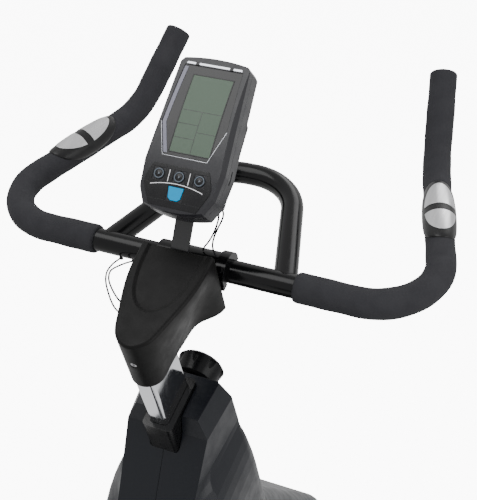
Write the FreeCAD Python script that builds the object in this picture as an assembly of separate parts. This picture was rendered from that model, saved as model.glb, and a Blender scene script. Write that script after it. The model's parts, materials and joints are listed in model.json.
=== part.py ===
import FreeCAD, Part
import math
import os

V = FreeCAD.Vector

# Indoor exercise bike. Millimetres and degrees, +Z up, +Y forward, +X to the rider's right.
# The origin is on the floor, under the middle of the bike.

# ---- overall sizes ----
bar_height = 1060.0          # centre of the handlebar's cross bar above the floor
bar_forward = 180.0          # cross bar ahead of the origin
post_lean = 20.0             # handlebar post leans back towards the rider
seat_lean = 18.0             # seat tube leans back
console_lean = 43.0          # console face leans forward from upright
flywheel_axle_height = 285.0
bottom_bracket_behind = 150.0
bottom_bracket_height = 320.0
rear_base_width = 500.0
front_base_width = 460.0

# ---- clearances ----
running_gap = 0.05           # radial clearance of a shaft in its bearing
slide_gap = 0.35             # each side of a sliding post in its bush
shell_gap = 0.5              # between plastic shells and between loose neighbours
knob_gap = 0.4               # between a knob's screw and the hole it passes

# ---- handlebar ----
bar_radius = 14.3
bar_wall = 2.0
grip_radius = 18.0
grip_end_cap = 3.0
grip_start = 129.7
bar_corner = V(303.0, 0.0, 0.0)
bar_bend = V(216.9, 272.2, 39.8)
bar_tip = V(194.2, 360.8, 133.9)
bar_corner_radius = 74.2
bar_bend_radius = 107.8
loop_radius = 14.2
loop_foot = 116.0
loop_corner = V(58.8, 175.8, 31.8)
loop_corner_radius = 74.3
clamp_wall = 5.5
clamp_lug = 3.0

# ---- pulse sensors ----
pulse_length = 111.0
pulse_width = 31.0
pulse_rise = 2.6
pulse_plate_rise = 0.9
pulse_border = 3.2
pulse_band = 10.0

# ---- handlebar post and its cover ----
post_width = 24.6
post_depth = 63.0
post_front = -93.7           # front face of the post, measured from the cross bar
post_wall = 1.5
post_corner = 5.0
post_top = 40.0
post_length = 430.0
cover_top = 56.0
cover_wall = 2.6
cover_pocket = 1.8
cover_screw_v = 12.6
screw_head_radius = 3.8
screw_head_length = 3.4

# ---- mast and frame tubes ----
mast_width = 35.0
mast_depth = 72.0
tube_wall = 2.0
mast_top = -123.0
mast_bottom = -540.0
bush_rise = 4.5
bush_skirt = 2.5
bush_skirt_depth = 46.0
bush_length = 90.0
leg_inner = 44.0
leg_thickness = 14.0
crown_height = 26.0
stay_width = 34.0
stay_depth = 50.0
down_tube_depth = 58.0
down_tube_start = -480.0
seat_tube_length = 420.0

# ---- base ----
base_depth = 80.0
base_tube_height = 40.0
base_tube_bottom = 20.0
base_corner = 12.0
front_base_y = 445.0
end_cap_length = 46.0
end_cap_wall = 3.0
wheel_radius = 27.0
wheel_width = 20.0
wheel_axle_height = 41.0
wheel_axle_radius = 5.0
wheel_track = 150.0
foot_radius = 24.0
foot_height = 14.0
foot_stud_radius = 5.0
foot_inset = 60.0

# ---- flywheel and drive ----
flywheel_radius = 190.0
flywheel_thickness = 24.0
flywheel_offset = -12.0
flywheel_rim = 34.0
axle_radius = 6.0
hub_radius = 21.0
hub_neck_radius = 17.0
wheel_bearing_radius = 14.0
wheel_bearing_width = 8.0
belt_plane = 31.0
belt_width = 13.0
belt_thickness = 4.0
flywheel_pulley_radius = 30.0
drive_pulley_radius = 110.0
shell_radius = 21.0
bb_bearing_radius = 17.5
bb_bearing_width = 10.0
shell_half = 24.0
spindle_radius = 8.5
crank_inner = 90.0
crank_thickness = 14.0
crank_length = 170.0
crank_angle = 35.0
pedal_length = 92.0
pedal_depth = 84.0
pedal_height = 24.0
pedal_axle_radius = 6.0
pedal_gap = 4.0              # between the crank and the pedal
pedal_axle_end = 4.0         # the axle stops this far inside the pedal's end

# ---- brake ----
brake_pivot_angle = 140.0    # round the flywheel's axle from straight ahead
brake_pivot_out = 42.0
brake_magnet_angle = 168.0
brake_lug_length = 35.0
brake_screw_radius = 4.0
brake_screw_at = 0.22        # share of the way down the housing's back edge
brake_screw_reach = 175.0
brake_boss_length = 30.0
brake_engage = 18.0

# ---- housing ----
housing_wall = 3.0
housing_half = 82.0
housing_rim = 30.0
head_top = -125.0
head_front = -77.5
flywheel_cover_radius = 212.0
pulley_cover_radius = 150.0
neck_bottom = -400.0
neck_radius = 45.0
neck_step = 0.4              # the neck overlaps the lower body by this fine step
spindle_hole = 24.0
seam = 0.5

# ---- knobs ----
seat_knob_at = 385.0
post_knob_v = -158.0
knob_radius = 31.0
knob_neck_radius = 26.0
knob_length = 29.0
post_knob_start = -69.0      # where the post's knob begins, measured from the cross bar
knob_flutes = 8
screw_radius = 6.0
tip_gap = 0.3                # between a locking screw's tip and the post it bears on

# ---- saddle ----
seat_post_top = 560.0
seat_post_length = 400.0
saddle_length = 262.0
saddle_width = 196.0
saddle_top = 955.0
cushion_thickness = 46.0
saddle_offset = -20.0        # saddle's middle behind the sleeve
saddle_plate = 10.0
sleeve_length = 90.0
slider_length = 200.0
slider_width = 36.0
slider_height = 26.0

# ---- console ----
console_crown = 112.5
console_crown_at = 115.0
console_crown_radius = 530.0
console_seam = 94.0
console_back = 74.0
console_wall = 2.4
console_bevel = 5.0
lcd_half_width = 24.4
lcd_half_height = 47.3
lcd_at = 147.4
lcd_aside = 2.0
lcd_level = 91.0
lens_thickness = 2.0
button_radius = 6.4
button_row = 73.5
button_spacing = 24.8
bracket_half = 11.0
bracket_thickness = 3.0
cable_radius = 1.1

bar_centre = V(0.0, bar_forward, bar_height)
bb_centre = V(0.0, -bottom_bracket_behind, bottom_bracket_height)
lean = math.radians(post_lean)
# the flywheel's axle is on the middle line of the mast, at its own height
mast_u = post_front - post_depth / 2.0
axle_v = (flywheel_axle_height - bar_height - mast_u * math.sin(lean)) / math.cos(lean)


# ---------------------------------------------------------------- helpers

def save(name, shape):
    """Write one sub-part as a STEP file."""
    shape.exportStep("parts/" + name + ".step")
    print(name, len(shape.Solids), round(shape.Volume / 1000.0, 1), shape.isValid())


def box(x0, x1, y0, y1, z0, z1):
    """A box between two corners."""
    return Part.makeBox(x1 - x0, y1 - y0, z1 - z0, V(x0, y0, z0))


def rod(start, direction, radius, length):
    """A cylinder from a point along a direction."""
    return Part.makeCylinder(radius, length, start, direction)


def rod_x(x0, x1, y, z, radius):
    """A cylinder along X."""
    return rod(V(x0, y, z), V(1, 0, 0), radius, x1 - x0)


def ring_x(x0, x1, y, z, outer, inner):
    """A ring along X."""
    return rod_x(x0, x1, y, z, outer).cut(rod_x(x0, x1, y, z, inner))


def mirror_x(shape):
    """The same piece on the other side of the bike."""
    return shape.mirror(V(0, 0, 0), V(1, 0, 0))


def group(shapes):
    """Several separate solids in one node."""
    return Part.makeCompound([solid for shape in shapes for solid in shape.Solids])


def tilt(shape, degrees, origin):
    """Turn a piece about the X axis and carry it to its place."""
    placed = shape.copy()
    placed.rotate(V(0, 0, 0), V(1, 0, 0), degrees)
    placed.translate(origin)
    return placed


def in_post(shape):
    """Post frame to bike frame: X across, Y away from the rider, Z up the post."""
    return tilt(shape, post_lean, bar_centre)


def in_seat(shape):
    """Seat tube frame to bike frame, with its origin at the bottom bracket."""
    return tilt(shape, seat_lean, bb_centre)


def in_console(shape):
    """Console frame to bike frame: Y up the face, Z out of the face."""
    return tilt(shape, 90.0 - console_lean, bar_centre)


def post_point(x, u, v):
    """A point of the post frame in the bike frame."""
    y = u * math.cos(lean) - v * math.sin(lean)
    z = u * math.sin(lean) + v * math.cos(lean)
    return bar_centre + V(x, y, z)


def rounded_box(x_half, y0, y1, z0, z1, radius):
    """A box with its four edges along Z rounded."""
    solid = box(-x_half, x_half, y0, y1, z0, z1)
    upright = [e for e in solid.Edges if abs(e.tangentAt(e.FirstParameter).z) > 0.99]
    return solid.makeFillet(radius, upright)


def rect_tube(x_half, y0, y1, z0, z1, wall, radius):
    """A rectangular tube along Z."""
    inner = rounded_box(x_half - wall, y0 + wall, y1 - wall, z0 - 1, z1 + 1, radius - wall)
    return rounded_box(x_half, y0, y1, z0, z1, radius).cut(inner)


def rounded_path(points, radii):
    """Straight runs joined by tangent arcs; radii has one value for each inner point."""
    edges = []
    start = points[0]
    for before, corner, after, radius in zip(points, points[1:], points[2:], radii):
        into = (corner - before).normalize()
        out = (after - corner).normalize()
        half_turn = into.getAngle(out) / 2.0
        reach = radius * math.tan(half_turn)
        first = corner - into * reach
        last = corner + out * reach
        bisector = (out - into).normalize()
        middle = corner + bisector * (radius / math.cos(half_turn) - radius)
        edges.append(Part.LineSegment(start, first).toShape())
        edges.append(Part.Arc(first, middle, last).toShape())
        start = last
    edges.append(Part.LineSegment(start, points[-1]).toShape())
    return Part.Wire(edges)


def round_bar(path, radius):
    """A round solid swept along a path."""
    edge = path.Edges[0]
    start = edge.valueAt(edge.FirstParameter)
    direction = edge.tangentAt(edge.FirstParameter)
    section = Part.Wire(Part.makeCircle(radius, start, direction))
    return path.makePipeShell([section], True, False)


def hull_face(circles, x):
    """The outline round circles (y, z, radius) listed anticlockwise, as a face at one X."""
    edges = []
    count = len(circles)
    tangents = []
    for i in range(count):
        y0, z0, r0 = circles[i]
        y1, z1, r1 = circles[(i + 1) % count]
        span = math.hypot(y1 - y0, z1 - z0)
        along = math.atan2(z1 - z0, y1 - y0)
        outward = along - math.acos((r0 - r1) / span)
        ny, nz = math.cos(outward), math.sin(outward)
        tangents.append((V(x, y0 + r0 * ny, z0 + r0 * nz), V(x, y1 + r1 * ny, z1 + r1 * nz), outward))
    for i in range(count):
        first, last, outward = tangents[i]
        before = tangents[i - 1]
        y0, z0, r0 = circles[i]
        sweep = (outward - before[2]) % (2.0 * math.pi)
        middle_angle = before[2] + sweep / 2.0
        middle = V(x, y0 + r0 * math.cos(middle_angle), z0 + r0 * math.sin(middle_angle))
        edges.append(Part.Arc(before[1], middle, first).toShape())
        edges.append(Part.LineSegment(first, last).toShape())
    return Part.Face(Part.Wire(edges))


def hull_solid(circles, x0, x1):
    """The outline round circles, extruded along X."""
    return hull_face(circles, x0).extrude(V(x1 - x0, 0, 0))


def tube_between(start, end, x_half, depth, wall):
    """A rectangular tube in the middle plane from one point to another."""
    run = end - start
    angle = math.degrees(math.atan2(run.z, run.y)) - 90.0
    tube = rect_tube(x_half, -depth / 2.0, depth / 2.0, 0.0, run.Length, wall, 6.0)
    return tilt(tube, angle, start)


def fluted_knob(length, near, far, flutes, bore):
    """A knob along Z from its neck at 0, with finger flutes round its rim."""
    profile = [V(0, 0, 0), V(near - 3, 0, 0), V(near, 0, 3), V(far, 0, length - 3), V(far - 3, 0, length),
               V(0, 0, length), V(0, 0, 0)]
    knob = Part.Face(Part.makePolygon(profile)).revolve(V(0, 0, 0), V(0, 0, 1), 360.0)
    if bore:
        knob = knob.cut(rod(V(0, 0, -1), V(0, 0, 1), bore, length * 0.6))
    depth = far * 0.09
    flute_radius = far * 0.2
    for i in range(flutes):
        angle = 2.0 * math.pi * i / flutes
        centre = V(math.cos(angle), math.sin(angle), 0) * (far + flute_radius - depth)
        knob = knob.cut(rod(centre - V(0, 0, 1), V(0, 0, 1), flute_radius, length - 3.0))
    return knob


def aim(shape, position, direction):
    """Carry a piece drawn along Z to a place and a direction."""
    placed = shape.copy()
    placed.Placement = FreeCAD.Placement(position, FreeCAD.Rotation(V(0, 0, 1), direction))
    return placed


# ---------------------------------------------------------------- handlebar

def bar_points(end_back):
    """Half of the bar's route from the cross bar to the tip, which may stop short of the end."""
    tip = bar_tip - (bar_tip - bar_bend).normalize() * end_back
    return [bar_corner, bar_bend, tip]


def bar_route(end_back):
    """The whole bar from the left tip to the right tip, in the cross bar's frame."""
    right = bar_points(end_back)
    left = [V(-p.x, p.y, p.z) for p in reversed(right)]
    radii = [bar_bend_radius, bar_corner_radius, bar_corner_radius, bar_bend_radius]
    return rounded_path(left + right, radii)


def at_bar(shape):
    """Cross bar frame to bike frame."""
    return tilt(shape, 0.0, bar_centre)


def handlebar_tube():
    route = bar_route(grip_end_cap)
    return at_bar(round_bar(route, bar_radius).cut(round_bar(route, bar_radius - bar_wall)))


def loop_solid(radius):
    """The front loop's tube, with its feet on the cross bar's middle line."""
    corner = loop_corner
    points = [V(-loop_foot, 0, 0), V(-corner.x, corner.y, corner.z), corner, V(loop_foot, 0, 0)]
    return round_bar(rounded_path(points, [loop_corner_radius, loop_corner_radius]), radius)


def front_loop():
    tube = loop_solid(loop_radius).cut(loop_solid(loop_radius - bar_wall))
    saddle = rod_x(-grip_start, grip_start, 0, 0, bar_radius)
    return at_bar(tube.cut(saddle))


def pulse_frame():
    """Middle, direction and upward direction of the right sensor's straight of bar."""
    turn_one = V(1, 0, 0).getAngle(bar_bend - bar_corner) / 2.0
    turn_two = (bar_bend - bar_corner).getAngle(bar_tip - bar_bend) / 2.0
    along = (bar_bend - bar_corner).normalize()
    first = bar_corner + along * (bar_corner_radius * math.tan(turn_one))
    last = bar_bend - along * (bar_bend_radius * math.tan(turn_two))
    up = (V(0, 0, 1) - along * along.z).normalize()
    return (first + last) * 0.5, along, up


def oval(length, width, height):
    """An oval block along X, standing on Z 0."""
    half = width / 2.0
    flat = length / 2.0 - half
    block = box(-flat, flat, -half, half, 0, height)
    for x in (-flat, flat):
        block = block.fuse(rod(V(x, 0, 0), V(0, 0, 1), half, height))
    return block.removeSplitter()


def pulse_patch(length, width, inner, outer):
    """A curved oval patch on the right sensor's straight, between two radii."""
    middle, along, up = pulse_frame()
    sleeve = rod(V(-pulse_length, 0, 0), V(1, 0, 0), outer, 2 * pulse_length)
    sleeve = sleeve.cut(rod(V(-pulse_length, 0, 0), V(1, 0, 0), inner, 2 * pulse_length))
    patch = sleeve.common(oval(length, width, grip_radius * 2))
    side = up.cross(along)
    turn = FreeCAD.Rotation(along, side, up, "ZXY")
    patch.Placement = FreeCAD.Placement(bar_centre + middle, turn)
    return patch


def pulse_housing():
    return pulse_patch(pulse_length, pulse_width, bar_radius + 1.0, grip_radius + pulse_rise)


def pulse_plate():
    """Two contact plates with a dark band left between them."""
    level = grip_radius + pulse_rise
    length = pulse_length - 2 * pulse_border
    width = pulse_width - 2 * pulse_border
    plates = pulse_patch(length, width, level, level + pulse_plate_rise)
    middle, along, up = pulse_frame()
    half = pulse_band / 2.0
    band = box(-half, half, -grip_radius, grip_radius, 0, grip_radius * 2)
    turn = FreeCAD.Rotation(along, up.cross(along), up, "ZXY")
    band.Placement = FreeCAD.Placement(bar_centre + middle, turn)
    return plates.cut(band)


def grip():
    """The right foam grip, from the cross bar to past the bar's tip."""
    start = V(grip_start, 0, 0)
    radii = [bar_corner_radius, bar_bend_radius]
    outer = round_bar(rounded_path([start] + bar_points(0.0), radii), grip_radius)
    inner = round_bar(rounded_path([start - V(1, 0, 0)] + bar_points(grip_end_cap), radii), bar_radius)
    return at_bar(outer.cut(inner)).cut(pulse_housing())


# ---------------------------------------------------------------- post, stem and cover

def post_block(grow, bottom, top):
    """The post's outside, grown on each side, between two heights on the post axis."""
    half = post_depth / 2.0 + grow
    return rounded_box(post_width / 2.0 + grow, mast_u - half, mast_u + half, bottom, top, post_corner + grow)


def handlebar_post():
    half = post_depth / 2.0
    tube = rect_tube(post_width / 2.0, mast_u - half, mast_u + half,
                     post_top - post_length, post_top, post_wall, post_corner)
    return in_post(tube)


def cover_section(level, blend, inset):
    """A closed outline of the cover across the post: blend 1 is the wide top, 0 the narrow hem."""
    wide = [(45.5, -24), (44.7, -41), (43.3, -57), (39.8, -82), (28.8, -126), (19.5, -150), (0, -161)]
    narrow = [(45.0, -24), (38.0, -41), (24.0, -57), (19.6, -82), (19.2, -126), (17.0, -152), (0, -161)]
    right = []
    for (wide_x, wide_u), (narrow_x, narrow_u) in zip(wide, narrow):
        x = narrow_x + (wide_x - narrow_x) * blend
        u = narrow_u + (wide_u - narrow_u) * blend
        right.append(V(max(x - inset, 0.0), u, level))
    right[-1] = right[-1] + V(0, inset, 0)
    left = [V(-p.x, p.y, p.z) for p in reversed(right[:-1])]
    curve = Part.BSplineCurve()
    curve.interpolate(right + left)
    return Part.Wire([curve.toShape(), Part.LineSegment(left[-1], right[0]).toShape()])


def cover_body(inset):
    """The cover's lofted body, grown inwards by a wall."""
    levels = [(cover_top + 6, 1.0), (34, 0.97), (14, 0.68), (-12, 0.28), (-34, 0.06), (-60, 0.0)]
    sections = [cover_section(level, blend, inset) for level, blend in levels]
    return Part.makeLoft(sections, True, False)


def slanted_lid(at_front, at_nose, inset):
    """Everything below a plane that falls from the cover's front to its nose."""
    points = [V(-90, -10, at_front - inset), V(-90, -170, at_nose - inset), V(-90, -170, -150),
              V(-90, -10, -150)]
    return Part.Face(Part.makePolygon(points + points[:1])).extrude(V(180, 0, 0))


def pocket_rim(grow, drop):
    """The U-shaped outline of the cover's pocket, in a plane below the cover's slanted top."""
    half = []
    for x, u in [(35.5, -20), (34.5, -50), (31.5, -70), (26.5, -87), (18.0, -102), (0, -112)]:
        u = u + grow * (u + 20.0) / 92.0
        half.append(V(x + grow * x / 35.5, u, 53.8 + 5.1 * (u + 10.0) / 160.0 - drop))
    other = [V(-p.x, p.y, p.z) for p in reversed(half[:-1])]
    curve = Part.BSplineCurve()
    curve.interpolate(half + other)
    return Part.Wire([curve.toShape(), Part.LineSegment(other[-1], half[0]).toShape()])


def cover_pocket_block():
    """The shallow pocket in the top of the cover, with sloping sides."""
    return Part.makeLoft([pocket_rim(-2.5, cover_pocket), pocket_rim(2.5, -0.4)], True, True)


def post_cover():
    top = slanted_lid(53.8, 48.7, 0.0)
    hem = slanted_lid(-43.0, -28.5, 0.0)
    outer = cover_body(0.0).common(top).cut(hem)
    edge = [e for e in outer.Edges if e.BoundBox.ZMin > 44 and e.BoundBox.YMin < -100]
    outer = outer.makeFillet(4.0, edge)
    outer = outer.cut(cover_pocket_block())
    inner = cover_body(cover_wall).common(slanted_lid(53.8, 48.7, cover_pocket + cover_wall))
    inner = inner.fuse(box(-17.5, 17.5, -30, -10, -60, 20))
    inner = inner.fuse(post_block(shell_gap, post_top - 110.0, post_top + shell_gap))
    shell = outer.cut(inner)
    hole = rod(V(0, -175, cover_screw_v), V(0, 1, 0), screw_head_radius + knob_gap, 30)
    return in_post(shell.cut(hole))


def cover_screw():
    """The pan-head screw in the cover's nose, seated on the back of the post."""
    back_of_post = mast_u - post_depth / 2.0
    start = V(0, back_of_post - screw_head_length, cover_screw_v)
    head = rod(start, V(0, 1, 0), screw_head_radius, screw_head_length)
    socket = rod(start, V(0, 1, 0), 1.6, 1.6)
    return in_post(head.cut(socket))


def stem_bracket():
    """The arm from the post to the cross bar, and the saddle that clamps the bar."""
    arm = box(-15, 15, post_front, 0, -17, 17)
    saddle = rod_x(-44, 37, 0, 0, bar_radius + clamp_wall)
    saddle = saddle.fuse(rod_x(36, 48, 0, 0, bar_radius + clamp_wall + clamp_lug))
    saddle = saddle.common(box(-60, 60, -bar_radius - 8, bar_radius + 8, -3, 40))
    ear = box(36, 47, -bar_radius - 8, -bar_radius + 2, -11, 8)
    shape = arm.fuse(saddle).fuse(ear)
    for x in (-32, 32):
        shape = shape.fuse(box(x - 7, x + 7, -22, 0, -20, -8))
    shape = shape.fuse(box(-39, 39, -22, -18, -20, 14))
    shape = in_post(shape).cut(at_bar(rod_x(-80, 80, 0, 0, bar_radius)))
    shape = shape.cut(console_strip())
    bolt = in_post(rod(V(42, -12, 15.4), V(0, -0.616, 0.788), 4.2, 7))
    return shape.fuse(bolt).removeSplitter()


# ---------------------------------------------------------------- console

def console_outline(grow, level):
    """The console's outline, grown outwards, at a level out of its face."""
    half = [(39.0, 213.5), (42.8, 208.5), (45.9, 150.0), (49.6, 86.0), (46.6, 56.0), (37.5, 38.5)]
    centre_e = 120.0
    right = [V(x + grow * math.copysign(1, x), e + grow * (e - centre_e) / 90.0, level) for x, e in half]
    left = [V(-p.x, p.y, p.z) for p in reversed(right)]
    bottom = V(0, 33.0 - grow, level)
    top = V(0, 217.0 + grow, level)
    edges = []
    for chain in (right, left):
        for a, b in zip(chain, chain[1:]):
            edges.append(Part.LineSegment(a, b).toShape())
    edges.insert(5, Part.Arc(right[-1], bottom, left[0]).toShape())
    edges.append(Part.Arc(left[-1], top, right[0]).toShape())
    return Part.Wire(edges)


def crown(inset):
    """A big roller whose surface gives the console's face its slight crown."""
    radius = console_crown_radius - inset
    centre = console_crown - console_crown_radius
    return rod(V(-80, console_crown_at, centre), V(1, 0, 0), radius, 160)


def console_block(grow, inset):
    """The console's outside or, with negative growth, its inside."""
    low = console_back + inset
    shoulder = console_crown - 9.0
    wall = Part.Face(console_outline(grow, low)).extrude(V(0, 0, shoulder - low))
    rim = console_outline(grow - console_bevel, console_crown + 4)
    bevel = Part.makeLoft([console_outline(grow, shoulder), rim], True, True)
    return wall.fuse(bevel).common(crown(inset))


def polygon_prism(points, low, high):
    """A prism on an outline of (x, e) points in the console frame."""
    corners = [V(x, e, low) for x, e in points]
    return Part.Face(Part.makePolygon(corners + corners[:1])).extrude(V(0, 0, high - low))


def lens_prism(grow, low, high):
    """The lens outline: wide at the top, drawn in below by two slanted corners."""
    half = [(35.6 + grow, 205.0 + grow), (39.6 + grow, 133.0), (27.0 + grow, 96.0 - grow)]
    right = list(half)
    left = [(-x, e) for x, e in reversed(half)]
    return polygon_prism(right + left, low, high)


def button_places():
    """Names and places of the three round buttons, left to right."""
    return [("button_left", -button_spacing), ("button_middle", 0.0), ("button_right", button_spacing)]


def enter_prism(grow, low, high):
    """The large shield-shaped button's outline."""
    half = [(9.2 + grow, 61.8 + grow), (7.4 + grow, 49.6), (4.0 + grow, 46.8 - grow)]
    right = list(half)
    left = [(-x, e) for x, e in reversed(half)]
    return polygon_prism(right + left, low, high)


def console_front():
    shell = console_block(0.0, 0.0).cut(console_block(-console_wall, console_wall))
    shell = shell.common(box(-90, 90, 0, 250, console_seam, console_crown + 10))
    shell = shell.cut(lens_prism(0.15, console_seam - 1, console_crown + 10))
    for name, x in button_places():
        shell = shell.cut(rod(V(x, button_row, console_seam), V(0, 0, 1), button_radius + 0.35, 30))
    return in_console(shell.cut(enter_prism(0.35, console_seam, console_crown + 10)))


def console_rear():
    shell = console_block(0.0, 0.0).cut(console_block(-console_wall, console_wall))
    shell = shell.common(box(-90, 90, 0, 250, console_back - 1, console_seam - 0.35))
    slot = box(40, 60, 81, 97, console_seam - 9, console_seam - 6.5)
    return in_console(shell.cut(slot))


def console_lens():
    plate = lens_prism(0.0, console_seam, console_crown + 10).common(crown(0.6))
    return in_console(plate.cut(crown(0.6 + lens_thickness)))


def lcd_panel():
    return in_console(box(lcd_aside - lcd_half_width, lcd_aside + lcd_half_width, lcd_at - lcd_half_height,
                          lcd_at + lcd_half_height, lcd_level - 4.0, lcd_level))


def round_button(x):
    """A round push button; its top follows the face and stands a little proud."""
    cap = rod(V(x, button_row, console_crown - 9), V(0, 0, 1), button_radius, 20)
    return in_console(cap.common(crown(-0.8)))


def enter_button():
    return in_console(enter_prism(0.0, console_crown - 9, console_crown + 10).common(crown(-1.0)))


def console_strip():
    """The flat bracket: a strip from the stem up behind the console, and its backing plate."""
    thick = bracket_thickness
    route = [V(0, -22.0, -10.0), V(0, -36.5, 36.0), V(0, -21.5, 67.0), V(0, 3.0, 112.5)]
    strip = None
    for a, b in zip(route, route[1:]):
        run = b - a
        angle = math.degrees(math.atan2(run.z, run.y)) - 90.0
        half = thick / 2.0
        piece = box(-bracket_half, bracket_half, -half, half, -half, run.Length + half)
        piece = tilt(piece, angle, bar_centre + a)
        strip = piece if strip is None else strip.fuse(piece)
    return strip


def console_bracket():
    plate = box(-46, 46, 53, 158, console_back - 4.0, console_back)
    upright = [e for e in plate.Edges if abs(e.tangentAt(e.FirstParameter).z) > 0.99]
    plate = plate.makeFillet(5.0, upright)
    strip = console_strip().cut(in_console(box(-60, 60, 20, 250, console_back - 3.9, 130)))
    return strip.fuse(in_console(plate))


# ---------------------------------------------------------------- welded frame

def base_block(y, width, grow):
    """A stabiliser tube's outside across the bike, with rounded long edges."""
    z0, z1 = base_tube_bottom - grow, base_tube_bottom + base_tube_height + grow
    half = base_depth / 2.0 + grow
    block = box(-width / 2.0, width / 2.0, y - half, y + half, z0, z1)
    long_edges = [e for e in block.Edges if abs(e.tangentAt(e.FirstParameter).x) > 0.99]
    return block.makeFillet(base_corner + grow, long_edges)


def base_tube(y, width):
    """A stabiliser tube, closed by its end caps."""
    length = width - 2 * end_cap_wall
    return base_block(y, length, 0.0).cut(base_block(y, length + 2, -tube_wall))


def reach():
    """How far the handlebar's tips stand ahead of the origin, which the base matches behind it."""
    along = (bar_tip - bar_bend).normalize()
    return bar_forward + bar_tip.y + grip_radius * math.sqrt(1.0 - along.y * along.y)


def rear_base_y():
    return -reach() + base_depth / 2.0 + end_cap_wall


def mast_block(grow, bottom, top):
    """The mast's outside between two heights on the post axis."""
    half = mast_depth / 2.0 + grow
    return rounded_box(mast_width / 2.0 + grow, mast_u - half, mast_u + half, bottom, top, 4.0 + grow)


def post_screw_hole(radius):
    """The hole for the post's locking screw, through everything ahead of the post."""
    return in_post(rod(V(0, post_front - 1.0, post_knob_v), V(0, 1, 0), radius, 40))


def mast():
    """Mast tube, crown and the two legs that hold the flywheel and stand on the front base."""
    half = mast_depth / 2.0
    tube = rect_tube(mast_width / 2.0, mast_u - half, mast_u + half, mast_bottom, mast_top, tube_wall, 4.0)
    boss = rod(V(0, mast_u + half - 0.5, post_knob_v), V(0, 1, 0), 11.0, 10.0)
    tube = in_post(tube.fuse(boss)).cut(post_screw_hole(screw_radius + running_gap))
    outer = leg_inner + leg_thickness
    crown_bottom = mast_bottom - crown_height
    crown_plate = in_post(box(-outer, outer, mast_u - 22, mast_u + 22, crown_bottom, mast_bottom))
    crown_at = post_point(0, mast_u, mast_bottom - crown_height / 2.0)
    axle = axle_centre()
    shape = tube.fuse(crown_plate)
    for x in (leg_inner, -outer):
        upper = hull_solid([(crown_at.y, crown_at.z, 20), (axle.y, axle.z, 22)], x, x + leg_thickness)
        lower = hull_solid([(axle.y, axle.z, 22), (front_base_y, base_tube_bottom + base_tube_height, 18)],
                           x, x + leg_thickness)
        shape = shape.fuse(upper.fuse(lower))
    shape = shape.cut(rod_x(-90, 90, axle.y, axle.z, axle_radius))
    return shape.cut(base_block(front_base_y, front_base_width, 0.0)).removeSplitter()


def axle_centre():
    """The flywheel axle's place in the middle plane."""
    return post_point(0, mast_u, axle_v)


def down_tube():
    """The tube from the mast to the bottom bracket, with the brake's pivot and the brake screw's boss."""
    start = post_point(0, mast_u, down_tube_start)
    tube = tube_between(start, bb_centre, stay_width / 2.0, down_tube_depth, tube_wall)
    tube = tube.cut(in_post(mast_block(0.0, mast_bottom - 1, 0.0))).cut(shell_block())
    tube = tube.cut(in_seat(seat_block(0.0, 0.0, seat_tube_length)))
    pivot = brake_pivot()
    along = (start - bb_centre).normalize()
    root = pivot + V(0, -along.z, along.y) * brake_lug_length
    for x in (-38.0, 10.0):
        tube = tube.fuse(hull_solid([(root.y, root.z, 9), (pivot.y, pivot.z, 9)], x, x + 4.0))
    tube = tube.fuse(box(-38.0, 14.0, root.y - 6, root.y + 6, root.z - 5, root.z + 5))
    tube = tube.fuse(rod_x(-38.0, 14.0, pivot.y, pivot.z, 5.0))
    point, inward = brake_screw_line()
    boss = rod(point + inward * brake_boss_from(), inward, 10.0, brake_boss_length)
    depth = brake_boss_from() + brake_engage + 1.0
    tube = tube.fuse(boss).cut(rod(point, inward, brake_screw_radius + running_gap, depth))
    return tube.removeSplitter()


def shell_block():
    return rod_x(-shell_half, shell_half, bb_centre.y, bb_centre.z, shell_radius)


def bottom_bracket_shell():
    return ring_x(-shell_half, shell_half, bb_centre.y, bb_centre.z, shell_radius, bb_bearing_radius)


def seat_block(grow, bottom, top):
    """The seat tube's outside in the seat tube frame."""
    half = mast_depth / 2.0 + grow
    return rounded_box(mast_width / 2.0 + grow, -half, half, bottom, top, 4.0 + grow)


def seat_tube():
    """The seat tube with the bottom bracket shell at its foot and the screw boss behind its top."""
    half = mast_depth / 2.0
    tube = rect_tube(mast_width / 2.0, -half, half, 0.0, seat_tube_length, tube_wall, 4.0)
    boss = rod(V(0, -half + 0.5, seat_knob_at), V(0, -1, 0), 11.0, 10.0)
    hole = rod(V(0, -post_depth / 2.0, seat_knob_at), V(0, -1, 0), screw_radius + running_gap, 40)
    tube = in_seat(tube.fuse(boss).cut(hole)).cut(shell_block())
    return tube.fuse(bottom_bracket_shell()).removeSplitter()


def rear_stay():
    """The tube from the seat tube's foot down to the rear base."""
    end = V(0, rear_base_y(), base_tube_bottom + base_tube_height / 2.0)
    tube = tube_between(bb_centre, end, stay_width / 2.0, stay_depth, tube_wall)
    tube = tube.cut(in_seat(seat_block(0.0, -10.0, seat_tube_length))).cut(shell_block())
    tube = tube.cut(base_block(rear_base_y(), rear_base_width, 0.0))
    behind = box(-60, 60, -700, bb_centre.y, 0, 700)
    pieces = sorted(tube.common(behind).Solids, key=lambda solid: solid.Volume)
    return pieces[-1]


def wheel_axle_y():
    return front_base_y + base_depth / 2.0 + wheel_radius + 3.0


def front_base():
    """The front stabiliser with the ears and pins of the transport wheels."""
    shape = base_tube(front_base_y, front_base_width)
    y = wheel_axle_y()
    for side in (-1, 1):
        x = side * wheel_track
        half = wheel_width / 2.0 + 1.0
        for x0 in (x - half - 4.0, x + half):
            ear = hull_solid([(front_base_y + base_depth / 2.0 - 8, wheel_axle_height, 9),
                              (y, wheel_axle_height, 9)], x0, x0 + 4.0)
            shape = shape.fuse(ear.cut(base_block(front_base_y, front_base_width, -1.0)))
        shape = shape.fuse(rod_x(x - half - 6.0, x + half + 6.0, y, wheel_axle_height, wheel_axle_radius))
    return shape.removeSplitter()


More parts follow.
